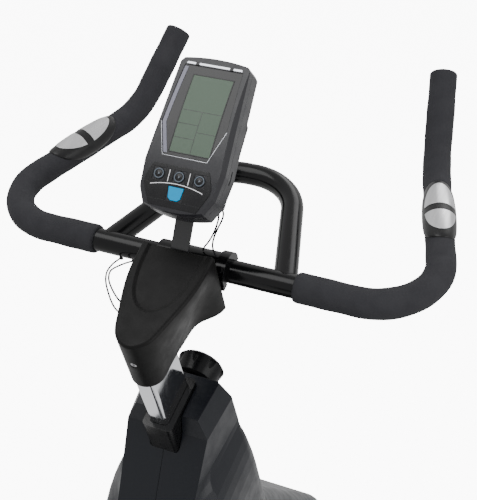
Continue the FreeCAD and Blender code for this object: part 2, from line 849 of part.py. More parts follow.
def rear_base():
    """The rear stabiliser with the holes for its levelling feet."""
    shape = base_tube(rear_base_y(), rear_base_width)
    for x in foot_places():
        hole = rod(V(x, rear_base_y(), 0), V(0, 0, 1), foot_stud_radius + running_gap, base_tube_bottom + 5)
        shape = shape.cut(hole)
    return shape


def foot_places():
    x = rear_base_width / 2.0 - end_cap_length - foot_inset
    return [-x, x]


def end_cap(y, width, to_floor):
    """A moulded cap over the right end of a base tube; the front ones stand on the floor."""
    half = width / 2.0
    block = base_block(y, width, end_cap_wall)
    block = block.common(box(half - end_cap_length, half, y - 100, y + 100, 0, 100))
    if to_floor:
        depth = base_depth / 2.0 - 8.0
        pad = rounded_box(0.5 * end_cap_length, y - depth, y + depth, 0, base_tube_bottom, 8.0)
        pad.translate(V(half - end_cap_length / 2.0, 0, 0))
        block = block.fuse(pad)
    return block.cut(base_block(y, width - 2 * end_cap_wall, 0.0)).removeSplitter()


def end_caps():
    front = end_cap(front_base_y, front_base_width, True)
    rear = end_cap(rear_base_y(), rear_base_width, False)
    return group([front, mirror_x(front), rear, mirror_x(rear)])


def levelling_foot(x):
    """A foot disc with its threaded stud up into the rear base."""
    y = rear_base_y()
    disc = rod(V(x, y, 0), V(0, 0, 1), foot_radius, foot_height)
    edges = [e for e in disc.Edges if e.BoundBox.ZMax < 0.1 or e.BoundBox.ZMin > foot_height - 0.1]
    disc = disc.makeFillet(2.0, edges)
    stud = rod(V(x, y, foot_height - 1), V(0, 0, 1), foot_stud_radius, 30.0)
    return disc.fuse(stud).removeSplitter()


def transport_wheel(x):
    """A small roller on its pin, with a rounded tread."""
    half = wheel_width / 2.0
    wheel = rod_x(x - half, x + half, wheel_axle_y(), wheel_axle_height, wheel_radius)
    wheel = wheel.makeFillet(3.0, [e for e in wheel.Edges if e.Length > 20 and len(e.Vertexes) == 1])
    groove = ring_x(x + half - 3, x + half + 1, wheel_axle_y(), wheel_axle_height, wheel_radius - 6, 10)
    wheel = wheel.cut(groove).cut(groove.copy().translate(V(-wheel_width + 2, 0, 0)))
    bore = wheel_axle_radius + running_gap
    return wheel.cut(rod_x(x - 40, x + 40, wheel_axle_y(), wheel_axle_height, bore))


def mast_bush():
    """The bush that guides the handlebar post: a liner in the mast and a capped skirt round its rim."""
    rim = mast_top + bush_rise
    liner = mast_block(-tube_wall, mast_top - bush_length, rim - 1)
    skirt = mast_block(bush_skirt, mast_top - bush_skirt_depth, rim)
    skirt = skirt.cut(mast_block(0.0, mast_top - bush_skirt_depth - 1, mast_top))
    front = box(-60, 60, mast_u, mast_u + 80, mast_top - 100, mast_top - 8)
    skirt = skirt.cut(front.cut(box(-10, 10, mast_u, mast_u + 20, mast_top - 100, mast_top)))
    shape = in_post(liner.fuse(skirt)).cut(in_post(post_block(slide_gap, -300, 0)))
    return shape.cut(post_screw_hole(screw_radius + knob_gap)).removeSplitter()


def seat_bush():
    """The same for the seat post."""
    rim = seat_tube_length + bush_rise
    liner = seat_block(-tube_wall, seat_tube_length - bush_length, rim - 1)
    skirt = seat_block(bush_skirt, seat_tube_length - 26.0, rim).cut(seat_block(0.0, 0.0, seat_tube_length))
    half = post_depth / 2.0 + slide_gap
    inner = rounded_box(post_width / 2.0 + slide_gap, -half, half, 0, rim + 1, post_corner + slide_gap)
    hole = rod(V(0, -post_depth / 2.0 + 2, seat_knob_at), V(0, -1, 0), screw_radius + knob_gap, 40)
    skirt_hole = rod(V(0, -mast_depth / 2.0, seat_knob_at), V(0, -1, 0), 12.0, 20)
    return in_seat(liner.fuse(skirt).cut(inner).cut(hole).cut(skirt_hole)).removeSplitter()


# ---------------------------------------------------------------- drive

def flywheel():
    """The cast flywheel: heavy rim, thin web, and a hub that runs on past its right side."""
    c = axle_centre()
    half = flywheel_thickness / 2.0
    x0, x1 = flywheel_offset - half, flywheel_offset + half
    wheel = ring_x(x0, x1, c.y, c.z, flywheel_radius, flywheel_radius - flywheel_rim)
    rim_edges = [e for e in wheel.Edges if len(e.Vertexes) == 1 and e.Length > 6 * flywheel_radius]
    wheel = wheel.makeChamfer(2.0, rim_edges)
    web = rod_x(flywheel_offset - 5, flywheel_offset + 5, c.y, c.z, flywheel_radius - flywheel_rim + 1)
    for i in range(6):
        angle = math.radians(60 * i + 30)
        web = web.cut(rod_x(-60, 60, c.y + 95 * math.cos(angle), c.z + 95 * math.sin(angle), 24))
    hub = rod_x(hub_left(), belt_plane - belt_width / 2.0 - 2.0, c.y, c.z, hub_radius)
    neck = rod_x(0, hub_right(), c.y, c.z, hub_neck_radius)
    shape = wheel.fuse(web).fuse(hub).fuse(neck)
    shape = shape.cut(rod_x(-80, 80, c.y, c.z, axle_radius + 2.0))
    shape = shape.cut(rod_x(hub_left() - 1, hub_left() + wheel_bearing_width, c.y, c.z, wheel_bearing_radius))
    shape = shape.cut(rod_x(hub_right() - wheel_bearing_width, 80, c.y, c.z, wheel_bearing_radius))
    return shape.removeSplitter()


def hub_left():
    return flywheel_offset - flywheel_thickness / 2.0 - 4.0


def hub_right():
    return belt_plane + belt_width / 2.0 + 2.0


def flywheel_bearings():
    c = axle_centre()
    inner = axle_radius + running_gap
    left = ring_x(hub_left(), hub_left() + wheel_bearing_width, c.y, c.z, wheel_bearing_radius, inner)
    right = ring_x(hub_right() - wheel_bearing_width, hub_right(), c.y, c.z, wheel_bearing_radius, inner)
    return group([left, right])


def flywheel_axle():
    """The fixed axle between the legs, with its spacers and nuts."""
    c = axle_centre()
    outer = leg_inner + leg_thickness
    axle = rod_x(-outer - 14, outer + 14, c.y, c.z, axle_radius)
    for x0, x1 in ((-leg_inner, hub_left() - 0.3), (hub_right() + 0.3, leg_inner)):
        axle = axle.fuse(rod_x(x0, x1, c.y, c.z, axle_radius + 3.0))
    for x in (-outer - 9, outer):
        nut = Part.Face(Part.makePolygon([V(x, c.y + 11 * math.cos(math.radians(60 * i)),
                                            c.z + 11 * math.sin(math.radians(60 * i))) for i in range(7)]))
        axle = axle.fuse(nut.extrude(V(9, 0, 0)))
    return axle


def flywheel_pulley():
    """The small pulley on the flywheel's neck, flanged on both sides of the belt."""
    c = axle_centre()
    half = belt_width / 2.0
    x0, x1 = belt_plane - half - 2.0, belt_plane + half + 2.0
    pulley = rod_x(x0, x1, c.y, c.z, flywheel_pulley_radius)
    for x in (x0, x1 - 1.6):
        pulley = pulley.fuse(rod_x(x, x + 1.6, c.y, c.z, flywheel_pulley_radius + 3.0))
    return pulley.cut(rod_x(x0 - 1, x1 + 1, c.y, c.z, hub_neck_radius)).removeSplitter()


def drive_belt():
    """The flat belt round both pulleys."""
    c = axle_centre()
    half = belt_width / 2.0 - 0.4
    gap = 0.3
    inner = [(c.y, c.z, flywheel_pulley_radius + gap), (bb_centre.y, bb_centre.z, drive_pulley_radius + gap)]
    outer = [(y, z, r + belt_thickness) for y, z, r in inner]
    x0, x1 = belt_plane - half, belt_plane + half
    return hull_solid(outer, x0, x1).cut(hull_solid(inner, x0 - 1, x1 + 1))


def drive_pulley():
    """The large pulley on the crank spindle: rim, web with round windows, and hub."""
    y, z = bb_centre.y, bb_centre.z
    half = belt_width / 2.0
    rim = ring_x(belt_plane - half, belt_plane + half, y, z, drive_pulley_radius, drive_pulley_radius - 9)
    web = rod_x(belt_plane - 3, belt_plane + 3, y, z, drive_pulley_radius - 8)
    for i in range(6):
        angle = math.radians(60 * i)
        web = web.cut(rod_x(-60, 60, y + 64 * math.cos(angle), z + 64 * math.sin(angle), 20))
    hub = rod_x(belt_plane - half, belt_plane + half + 6, y, z, 24)
    return rim.fuse(web).fuse(hub).cut(rod_x(-60, 60, y, z, spindle_radius)).removeSplitter()


def bottom_bracket_bearings():
    y, z = bb_centre.y, bb_centre.z
    inner = spindle_radius + running_gap
    right = ring_x(shell_half - bb_bearing_width, shell_half, y, z, bb_bearing_radius, inner)
    return group([right, mirror_x(right)])


def crank_spindle():
    end = crank_inner + crank_thickness
    return rod_x(-end, end, bb_centre.y, bb_centre.z, spindle_radius)


def crank_end(side):
    """Where a crank's pedal axle sits; side 1 is the right crank."""
    angle = math.radians(crank_angle)
    return bb_centre + V(0, math.cos(angle), math.sin(angle)) * (side * crank_length)


def crank(side):
    """A forged crank arm, bossed at the spindle and at the pedal."""
    end = crank_end(side)
    x0, x1 = crank_inner, crank_inner + crank_thickness
    circles = [(bb_centre.y, bb_centre.z, 19), (end.y, end.z, 14)]
    arm = hull_solid(circles, x0 + 1, x1 - 1)
    arm = arm.fuse(rod_x(x0, x1, bb_centre.y, bb_centre.z, 19)).fuse(rod_x(x0, x1, end.y, end.z, 14))
    arm = arm.cut(rod_x(0, 200, bb_centre.y, bb_centre.z, spindle_radius))
    arm = arm.cut(rod_x(0, 200, end.y, end.z, pedal_axle_radius)).removeSplitter()
    return arm if side > 0 else mirror_x(arm)


def pedal_axle(side):
    end = crank_end(side)
    x1 = crank_inner + crank_thickness
    axle = rod_x(crank_inner, x1 + pedal_gap + pedal_length - pedal_axle_end, end.y, end.z, pedal_axle_radius)
    axle = axle.fuse(rod_x(x1, x1 + pedal_gap - 1.0, end.y, end.z, 10))
    return axle if side > 0 else mirror_x(axle)


def pedal(side):
    """A flat pedal with a cage of bars, on its axle."""
    end = crank_end(side)
    x0 = crank_inner + crank_thickness + pedal_gap
    x1 = x0 + pedal_length
    half, tall = pedal_depth / 2.0, pedal_height / 2.0
    body = box(x0, x1, end.y - half, end.y + half, end.z - tall, end.z + tall)
    corners = [e for e in body.Edges if abs(e.tangentAt(e.FirstParameter).z) > 0.99]
    body = body.makeFillet(12.0, corners)
    for sign in (-1, 1):
        y = end.y + sign * (half - 20)
        body = body.cut(box(x0 + 10, x1 - 10, y - 9, y + 9, 0, 900))
    bore_end = x1 - pedal_axle_end + shell_gap
    body = body.cut(rod_x(x0 - 1, bore_end, end.y, end.z, pedal_axle_radius + running_gap))
    return body if side > 0 else mirror_x(body)


def brake_pivot():
    """The pivot of the magnet arm, between the down tube and the flywheel's rim."""
    angle = math.radians(brake_pivot_angle)
    return axle_centre() + V(0, math.cos(angle), math.sin(angle)) * (flywheel_radius + brake_pivot_out)


def magnet_arm():
    """Two cheeks astride the flywheel's rim, joined outside it, each with two magnets."""
    c = axle_centre()
    pivot = brake_pivot()
    low = math.radians(brake_magnet_angle)
    seat = c + V(0, math.cos(low), math.sin(low)) * (flywheel_radius - 14)
    back = c + V(0, math.cos(low), math.sin(low)) * (flywheel_radius + 22)
    half = flywheel_thickness / 2.0 + 4.0
    shape = None
    for x0 in (flywheel_offset - half - 3, flywheel_offset + half):
        outline = [(pivot.y, pivot.z, 11), (back.y, back.z, 8), (seat.y, seat.z, 22)]
        cheek = hull_solid(outline, x0, x0 + 3)
        shape = cheek if shape is None else shape.fuse(cheek)
    for point, radius in ((back, 6), (pivot, 10)):
        x0, x1 = flywheel_offset - half - 3, flywheel_offset + half + 3
        shape = shape.fuse(rod_x(x0, x1, point.y, point.z, radius))
    for x0 in (flywheel_offset - half, flywheel_offset + half - 2.5):
        shape = shape.fuse(rod_x(x0, x0 + 2.5, seat.y, seat.z, 11))
    return shape.cut(rod_x(-80, 80, pivot.y, pivot.z, 5.0 + running_gap)).removeSplitter()


# ---------------------------------------------------------------- housing

def neck_circle(inset, rear):
    """A rounding where the housing's neck meets its lower body, at the front or the rear edge."""
    edge = head_rear(neck_bottom) + neck_radius if rear else head_front - neck_radius
    point = post_point(0, edge, neck_bottom)
    return (point.y, point.z, neck_radius - neck_step - inset)


def head_rear(v):
    """The rider-facing edge of the head and neck: it falls away backwards below the top facet."""
    return -145.1 + 0.962 * (v + 150.0)


def body_circles(inset):
    """The lower body's outline: flywheel, front neck, rear neck and pulley."""
    c = axle_centre()
    return [(c.y, c.z, flywheel_cover_radius - inset), neck_circle(inset, False), neck_circle(inset, True),
            (bb_centre.y, bb_centre.z, pulley_cover_radius - inset)]


def head_section(v, rear_x, side_x, side_back, front_x, corner, bulge, inset):
    """A closed outline across the post: rider face, rounded or slanted sides, front corners, front."""
    rear_u = head_rear(v) if v <= -150.0 else -135.7
    rear_u = rear_u + inset
    front_u = head_front - inset
    corner = max(corner - inset, 1.0)
    a = V(rear_x - inset, rear_u, v)
    b = V(side_x - inset, rear_u + side_back, v)
    c = V(front_x - inset, front_u - corner, v)
    d = V(front_x - inset - corner, front_u, v)
    outward = V(1, -1, 0).normalize()
    ab = (a + b) * 0.5 + outward * (0.293 * (b - a).Length * 0.7071 * bulge + 0.02)
    cd = V(c.x, d.y, v) + V(-1, -1, 0) * (corner * 0.2929)
    mirror = [V(-p.x, p.y, p.z) for p in (a, ab, b, c, cd, d)]
    ma, mab, mb, mc, mcd, md = mirror
    edges = [Part.LineSegment(ma, a), Part.Arc(a, ab, b), Part.LineSegment(b, c), Part.Arc(c, cd, d),
             Part.LineSegment(d, md), Part.Arc(md, mcd, mc), Part.LineSegment(mc, mb), Part.Arc(mb, mab, ma)]
    return Part.Wire([edge.toShape() for edge in edges])


def head_body(inset):
    """The head block with its facets, and the shoulder that swells out below it."""
    # height on the post axis, rider face half, side half, side starts ahead of the face, front half,
    # front corner, roundness of the rear corner
    top = (head_top - inset, 42.0, 43.4, 19.0, 46.0, 4.0, 0.0)
    facet = (-150.0, 54.0, 56.0, 22.0, 59.7, 4.0, 0.0)
    valley = (-199.0, 51.5, 55.0, 36.0, 61.0, 5.0, 0.0)
    swell = [valley,
             (-206.0, 51.0, 58.5, 30.0, 62.2, 8.0, 0.05),
             (-214.0, 50.8, 63.8, 30.0, 65.4, 13.0, 0.1),
             (-224.0, 50.4, 69.6, 38.0, 70.2, 17.0, 0.2),
             (-236.0, 50.0, 74.2, 42.0, 74.4, 21.0, 0.3),
             (-250.0, 50.0, 77.8, 42.0, 77.8, 25.0, 0.45),
             (-268.0, 50.0, 80.4, 42.0, 80.4, 27.0, 0.6),
             (-290.0, 51.0, housing_half, 38.0, housing_half, 29.0, 0.8),
             (neck_bottom, housing_half - housing_rim, housing_half, housing_rim, housing_half,
              housing_rim, 1.0)]
    block = Part.makeLoft([head_section(*row, inset) for row in (top, facet, valley)], True, True)
    shoulder = Part.makeLoft([head_section(*row, inset) for row in swell], True, True)
    return in_post(block.fuse(shoulder))


def lower_body(inset):
    """The lower body round the flywheel and the pulley, with a rounded rim."""
    half = housing_half - neck_step - inset
    body = hull_solid(body_circles(inset), -half, half)
    rims = [e for e in body.Edges if abs(e.BoundBox.XMax - e.BoundBox.XMin) < 0.01]
    return body.makeFillet(housing_rim - inset, rims)


def housing_shell():
    """Both halves of the housing in one, with every opening."""
    shell = head_body(0.0).fuse(lower_body(0.0)).cut(head_body(housing_wall).fuse(lower_body(housing_wall)))
    gap = shell_gap
    shell = shell.cut(in_post(mast_block(bush_skirt + gap, mast_top - bush_skirt_depth - gap, 20)))
    shell = shell.cut(in_post(mast_block(gap, mast_top - 100.0, 20)))
    shell = shell.cut(post_screw_hole(12.0))
    shell = shell.cut(in_seat(seat_block(gap, 60, seat_tube_length)))
    end = V(0, rear_base_y(), base_tube_bottom + base_tube_height / 2.0)
    stay = tube_between(bb_centre, end, stay_width / 2.0 + gap, stay_depth + 2 * gap, tube_wall)
    shell = shell.cut(Part.makeCompound(stay.Solids)).cut(stay_core(end))
    c = axle_centre()
    for x in (leg_inner - gap, -leg_inner - leg_thickness - gap):
        foot = (front_base_y, base_tube_bottom + base_tube_height, 18 + gap)
        slot = hull_solid([(c.y, c.z, 22 + gap), foot], x, x + leg_thickness + 2 * gap)
        shell = shell.cut(slot)
    shell = shell.cut(rod_x(-100, 100, bb_centre.y, bb_centre.z, spindle_hole))
    point, inward = brake_screw_line()
    return shell.cut(rod(point - inward * 30, inward, brake_screw_radius + knob_gap, 60))


def stay_core(end):
    """The inside of the rear stay's passage through the housing."""
    run = end - bb_centre
    angle = math.degrees(math.atan2(run.z, run.y)) - 90.0
    depth = stay_depth / 2.0 + shell_gap
    core = rounded_box(stay_width / 2.0 + shell_gap, -depth, depth, 0, run.Length, 6.0)
    return tilt(core, angle, bb_centre)


# ---------------------------------------------------------------- knobs

def clamp_knob(tip, outward, reach_to_knob, near, far, length, neck):
    """A fluted knob on a screw whose flat tip bears on a post."""
    screw = rod(V(0, 0, 0), V(0, 0, 1), screw_radius, reach_to_knob + 6)
    body = fluted_knob(length, near, far, knob_flutes, 0)
    body.translate(V(0, 0, reach_to_knob))
    collar = rod(V(0, 0, reach_to_knob - neck), V(0, 0, 1), 10.0, neck + 1)
    return aim(screw.fuse(collar).fuse(body).removeSplitter(), tip, outward)


def post_knob():
    """The handlebar post's locking knob, ahead of the mast."""
    tip = post_point(0, post_front + tip_gap, post_knob_v)
    outward = V(0, math.cos(lean), math.sin(lean))
    to_knob = post_knob_start - post_front - tip_gap
    return clamp_knob(tip, outward, to_knob, knob_neck_radius, knob_radius, knob_length, 7.0)


def seat_knob():
    """The seat post's locking knob, behind the seat tube."""
    angle = math.radians(seat_lean)
    outward = V(0, -math.cos(angle), -math.sin(angle))
    up = V(0, -math.sin(angle), math.cos(angle))
    tip = bb_centre + up * seat_knob_at + outward * (post_depth / 2.0 + tip_gap)
    return clamp_knob(tip, outward, 24.0, 20.0, 24.0, 26.0, 6.0)


def slider_knob():
    """The saddle slider's locking knob, on the right of its sleeve."""
    centre = sleeve_centre()
    tip = V(slider_width / 2.0 + tip_gap, centre.y, centre.z)
    return clamp_knob(tip, V(1, 0, 0), 20.0, 18.0, 22.0, 24.0, 5.0)


def brake_screw_line():
    """Where the brake screw leaves the housing's back edge, and its direction inwards."""
    y0, z0, r0 = body_circles(0.0)[2]
    y1, z1, r1 = body_circles(0.0)[3]
    span = math.hypot(y1 - y0, z1 - z0)
    outward = math.atan2(z1 - z0, y1 - y0) - math.acos((r0 - r1) / span)
    normal = V(0, math.cos(outward), math.sin(outward))
    first = V(0, y0, z0) + normal * r0
    last = V(0, y1, z1) + normal * r1
    return first + (last - first) * brake_screw_at, normal * -1


def brake_boss_from():
    """The brake boss starts where the screw still has its engaged length to go."""
    return brake_screw_reach - brake_engage


def brake_knob():
    """The resistance knob on the rider's side, with the long screw that works the brake."""
    point, inward = brake_screw_line()
    screw = rod(V(0, 0, -brake_screw_reach), V(0, 0, 1), brake_screw_radius, brake_screw_reach + 12)
    body = fluted_knob(26.0, 19.0, 23.0, 6, 0)
    body.translate(V(0, 0, 8.0))
    collar = rod(V(0, 0, 1.0), V(0, 0, 1), 12.0, 8.0)
    return aim(screw.fuse(collar).fuse(body).removeSplitter(), point, inward * -1)


# ---------------------------------------------------------------- saddle

def sleeve_centre():
    """The middle of the fore-and-aft sleeve on top of the seat post."""
    angle = math.radians(seat_lean)
    return bb_centre + V(0, -math.sin(angle), math.cos(angle)) * seat_post_top


def seat_post():
    """The seat post with the fore-and-aft sleeve welded across its top."""
    half = post_depth / 2.0
    centre = sleeve_centre()
    bottom = seat_post_top - seat_post_length
    post = rect_tube(post_width / 2.0, -half, half, bottom, seat_post_top, post_wall, post_corner)
    outer_x = slider_width / 2.0 + slide_gap + 3.0
    outer_z = slider_height / 2.0 + slide_gap + 3.0
    y0, y1 = centre.y - sleeve_length / 2.0, centre.y + sleeve_length / 2.0
    sleeve = box(-outer_x, outer_x, y0, y1, centre.z - outer_z, centre.z + outer_z)
    sleeve = sleeve.makeFillet(4.0, [e for e in sleeve.Edges if abs(e.tangentAt(e.FirstParameter).y) > 0.99])
    x, z = outer_x - 3.0, outer_z - 3.0
    bore = box(-x, x, y0 - 1, y1 + 1, centre.z - z, centre.z + z)
    below = box(-100, 100, -900, 300, 0, centre.z - z)
    shape = in_seat(post).common(below).fuse(sleeve).cut(bore)
    boss = rod(V(x, centre.y, centre.z), V(1, 0, 0), 11.0, 13.0)
    hole = rod(V(x - 1, centre.y, centre.z), V(1, 0, 0), screw_radius + running_gap, 30)
    return shape.fuse(boss).cut(bore).cut(hole).removeSplitter()


def saddle_slider():
    """The bar that slides in the sleeve, with an upright at each end to carry the saddle."""
    centre = sleeve_centre()
    half = slider_length / 2.0
    x, z = slider_width / 2.0, slider_height / 2.0
    bar = box(-x, x, centre.y - half, centre.y + half, centre.z - z, centre.z + z)
    bar = bar.makeFillet(1.5, [e for e in bar.Edges if abs(e.tangentAt(e.FirstParameter).y) > 0.99])
    for y0 in (centre.y - half, centre.y + half - 12.0):
        bar = bar.fuse(box(-x, x, y0, y0 + 12.0, centre.z - z, base_plate_level()))
    return bar.removeSplitter()


def base_plate_level():
    return saddle_top - cushion_thickness - saddle_plate


def plan_hull(circles, z0, z1):
    """The outline round circles (x, y, radius) in plan, extruded upwards."""
    solid = hull_solid(circles, z0, z1)
    solid.rotate(V(0, 0, 0), V(1, 1, 1), -120.0)
    return solid


def saddle_outline(inset, z0, z1):
    """The saddle in plan: two broad lobes behind and a slim nose."""
    y = sleeve_centre().y + saddle_offset
    lobe = saddle_width / 2.0 - 50.0
    back, front = y - saddle_length / 2.0, y + saddle_length / 2.0
    circles = [(-lobe, back + 50.0, 50.0 - inset), (lobe, back + 50.0, 50.0 - inset),
               (0.0, front - 26.0, 26.0 - inset)]
    return plan_hull(circles, z0, z1)


def saddle_base():
    """The moulded plate under the cushion."""
    low = base_plate_level()
    return saddle_outline(9.0, low, low + saddle_plate)


def saddle_cushion():
    """The padded cushion as one rounded solid."""
    low = base_plate_level() + saddle_plate
    pad = saddle_outline(0.0, low, saddle_top)
    top = [e for e in pad.Edges if e.BoundBox.ZMin > saddle_top - 0.1]
    return pad.makeFillet(16.0, top)


# ---------------------------------------------------------------- cables

def cable_routes():
    """The four thin leads, each as points chosen along its free run, from the cross bar's middle."""
    return {
        "cable_left_outer": [
            V(-95, -7.6, -13.6), V(-99, -17, -15), V(-97, -34, -13), V(-91, -51, -9), V(-82, -68, -8),
            V(-70, -84, -8), V(-57, -99, -10), V(-45, -108, -14), V(-35, -106, -20)],
        "cable_left_inner": [
            V(-78, -7.6, -13.6), V(-85, -15, -14), V(-88, -30, -11), V(-86, -46, -5), V(-80, -62, 1),
            V(-71, -79, 4), V(-58, -94, 4), V(-45, -104, 0), V(-37, -104, -7)],
        "cable_console_thin": [
            V(34, -11.6, 90.1), V(34, -3.5, 82.5), V(34, -1, 71), V(31.5, -4, 58), V(27, -6, 46),
            V(21, -5, 35), V(15, -3, 27), V(13, -1.2, 21.1)],
        "cable_console_thick": [
            V(40, -11.6, 90.1), V(40, -1.5, 80.7), V(38, 1, 69), V(33, -2, 57), V(29, -4, 46),
            V(26.5, -4.5, 35), V(28, -6.3, 28), V(33, -6.9, 20.1)],
    }


def cable(points):
    """A thin lead: each bend as large as its runs allow."""
    radii = []
    for before, corner, after in zip(points, points[1:], points[2:]):
        turn = (corner - before).getAngle(after - corner)
        run = min((corner - before).Length, (after - corner).Length)
        radii.append(0.45 * run / math.tan(turn / 2.0))
    path = rounded_path(points, radii)
    solid = at_bar(round_bar(path, cable_radius))
    ideal = math.pi * cable_radius ** 2 * path.Length
    print("   bends", [round(r, 1) for r in radii], "length", round(path.Length, 1),
          "volume ratio", round(solid.Volume / ideal, 3))
    return solid


# ---------------------------------------------------------------- every sub-part

os.makedirs("parts", exist_ok=True)

save("mast", mast())
save("down_tube", down_tube())
save("seat_tube", seat_tube())
save("rear_stay", rear_stay())
save("front_base", front_base())
save("rear_base", rear_base())
save("end_caps", end_caps())
save("mast_bush", mast_bush())
save("seat_bush", seat_bush())
housing = housing_shell()
save("housing_left", housing.common(box(-200, -seam / 2.0, -1000, 1000, 0, 1500)))
save("housing_right", housing.common(box(seam / 2.0, 200, -1000, 1000, 0, 1500)))
for x, name in zip(foot_places(), ("foot_left", "foot_right")):
    save(name, levelling_foot(x))
for x, name in ((-wheel_track, "transport_wheel_left"), (wheel_track, "transport_wheel_right")):
    save(name, transport_wheel(x))
save("flywheel", flywheel())
save("flywheel_bearings", flywheel_bearings())
save("flywheel_axle", flywheel_axle())
save("flywheel_pulley", flywheel_pulley())
save("drive_belt", drive_belt())
save("drive_pulley", drive_pulley())
save("bottom_bracket_bearings", bottom_bracket_bearings())
save("crank_spindle", crank_spindle())
for side, name in ((-1, "left"), (1, "right")):
    save("crank_" + name, crank(side))
    save("pedal_" + name, pedal(side))
save("pedal_axles", group([pedal_axle(1), pedal_axle(-1)]))
save("magnet_arm", magnet_arm())
save("brake_knob", brake_knob())
save("post_lock_knob", post_knob())
save("seat_lock_knob", seat_knob())
save("slider_lock_knob", slider_knob())
save("handlebar_post", handlebar_post())
save("stem_bracket", stem_bracket())
save("handlebar_tube", handlebar_tube())
save("front_loop", front_loop())
right_grip = grip()
save("grip_right", right_grip)
save("grip_left", mirror_x(right_grip))
save("pulse_housings", group([pulse_housing(), mirror_x(pulse_housing())]))
save("pulse_plates", group([pulse_plate(), mirror_x(pulse_plate())]))
save("post_cover", post_cover())
save("cover_screw", cover_screw())
save("console_bracket", console_bracket())
save("console_rear", console_rear())
save("console_front", console_front())
save("console_lens", console_lens())
save("lcd_panel", lcd_panel())
for name, x in button_places():
    save(name, round_button(x))
save("button_enter", enter_button())
save("seat_post", seat_post())
save("saddle_slider", saddle_slider())
save("saddle_base", saddle_base())
save("saddle_cushion", saddle_cushion())
for name, points in cable_routes().items():
    save(name, cable(points))
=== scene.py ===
import bmesh
import bpy
import json
import math
from mathutils import Matrix, Vector


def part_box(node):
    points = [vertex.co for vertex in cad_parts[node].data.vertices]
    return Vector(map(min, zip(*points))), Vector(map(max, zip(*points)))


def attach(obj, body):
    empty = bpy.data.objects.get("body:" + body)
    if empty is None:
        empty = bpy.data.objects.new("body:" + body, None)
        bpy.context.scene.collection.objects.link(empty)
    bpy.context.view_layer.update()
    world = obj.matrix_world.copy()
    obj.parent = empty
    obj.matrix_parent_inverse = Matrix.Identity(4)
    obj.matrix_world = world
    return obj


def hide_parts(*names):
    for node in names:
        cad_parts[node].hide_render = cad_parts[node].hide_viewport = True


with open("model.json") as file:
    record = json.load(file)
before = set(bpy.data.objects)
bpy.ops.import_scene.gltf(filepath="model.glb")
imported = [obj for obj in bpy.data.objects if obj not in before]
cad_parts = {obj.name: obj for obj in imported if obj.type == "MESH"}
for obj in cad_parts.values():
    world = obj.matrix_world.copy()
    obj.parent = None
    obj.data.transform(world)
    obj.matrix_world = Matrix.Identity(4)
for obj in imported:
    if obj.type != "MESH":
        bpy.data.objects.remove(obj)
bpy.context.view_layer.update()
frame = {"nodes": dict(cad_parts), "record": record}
nodes = frame["nodes"]

# Metres, +Z up, +Y forward, +X to the rider's right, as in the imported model.

# ---- sizes that follow the CAD ----
BAR_RADIUS = 0.0143
GRIP_RADIUS = 0.018
GRIP_START = 0.1297
BAR_CORNER = Vector((0.303, 0.0, 0.0))
BAR_BEND = Vector((0.2169, 0.2722, 0.0398))
BAR_TIP = Vector((0.1942, 0.3608, 0.1339))
BAR_CORNER_RADIUS = 0.0742
BAR_BEND_RADIUS = 0.1078
CONSOLE_LEAN = math.radians(43.0)
CROWN_HEIGHT = 0.1125
CROWN_AT = 0.115
CROWN_RADIUS = 0.530
LENS_INSET = 0.0006
BUTTON_RADIUS = 0.0064
BUTTON_ROW = 0.0735
BUTTON_SPACING = 0.0248
CABLE_RADIUS = 0.0011
SIDES = ((-1, "left"), (1, "right"))

bar_low = Vector(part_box("handlebar_tube")[0])
bar = Vector((0.0, bar_low.y + BAR_RADIUS, bar_low.z + BAR_RADIUS))


# ---------------------------------------------------------------- shader building

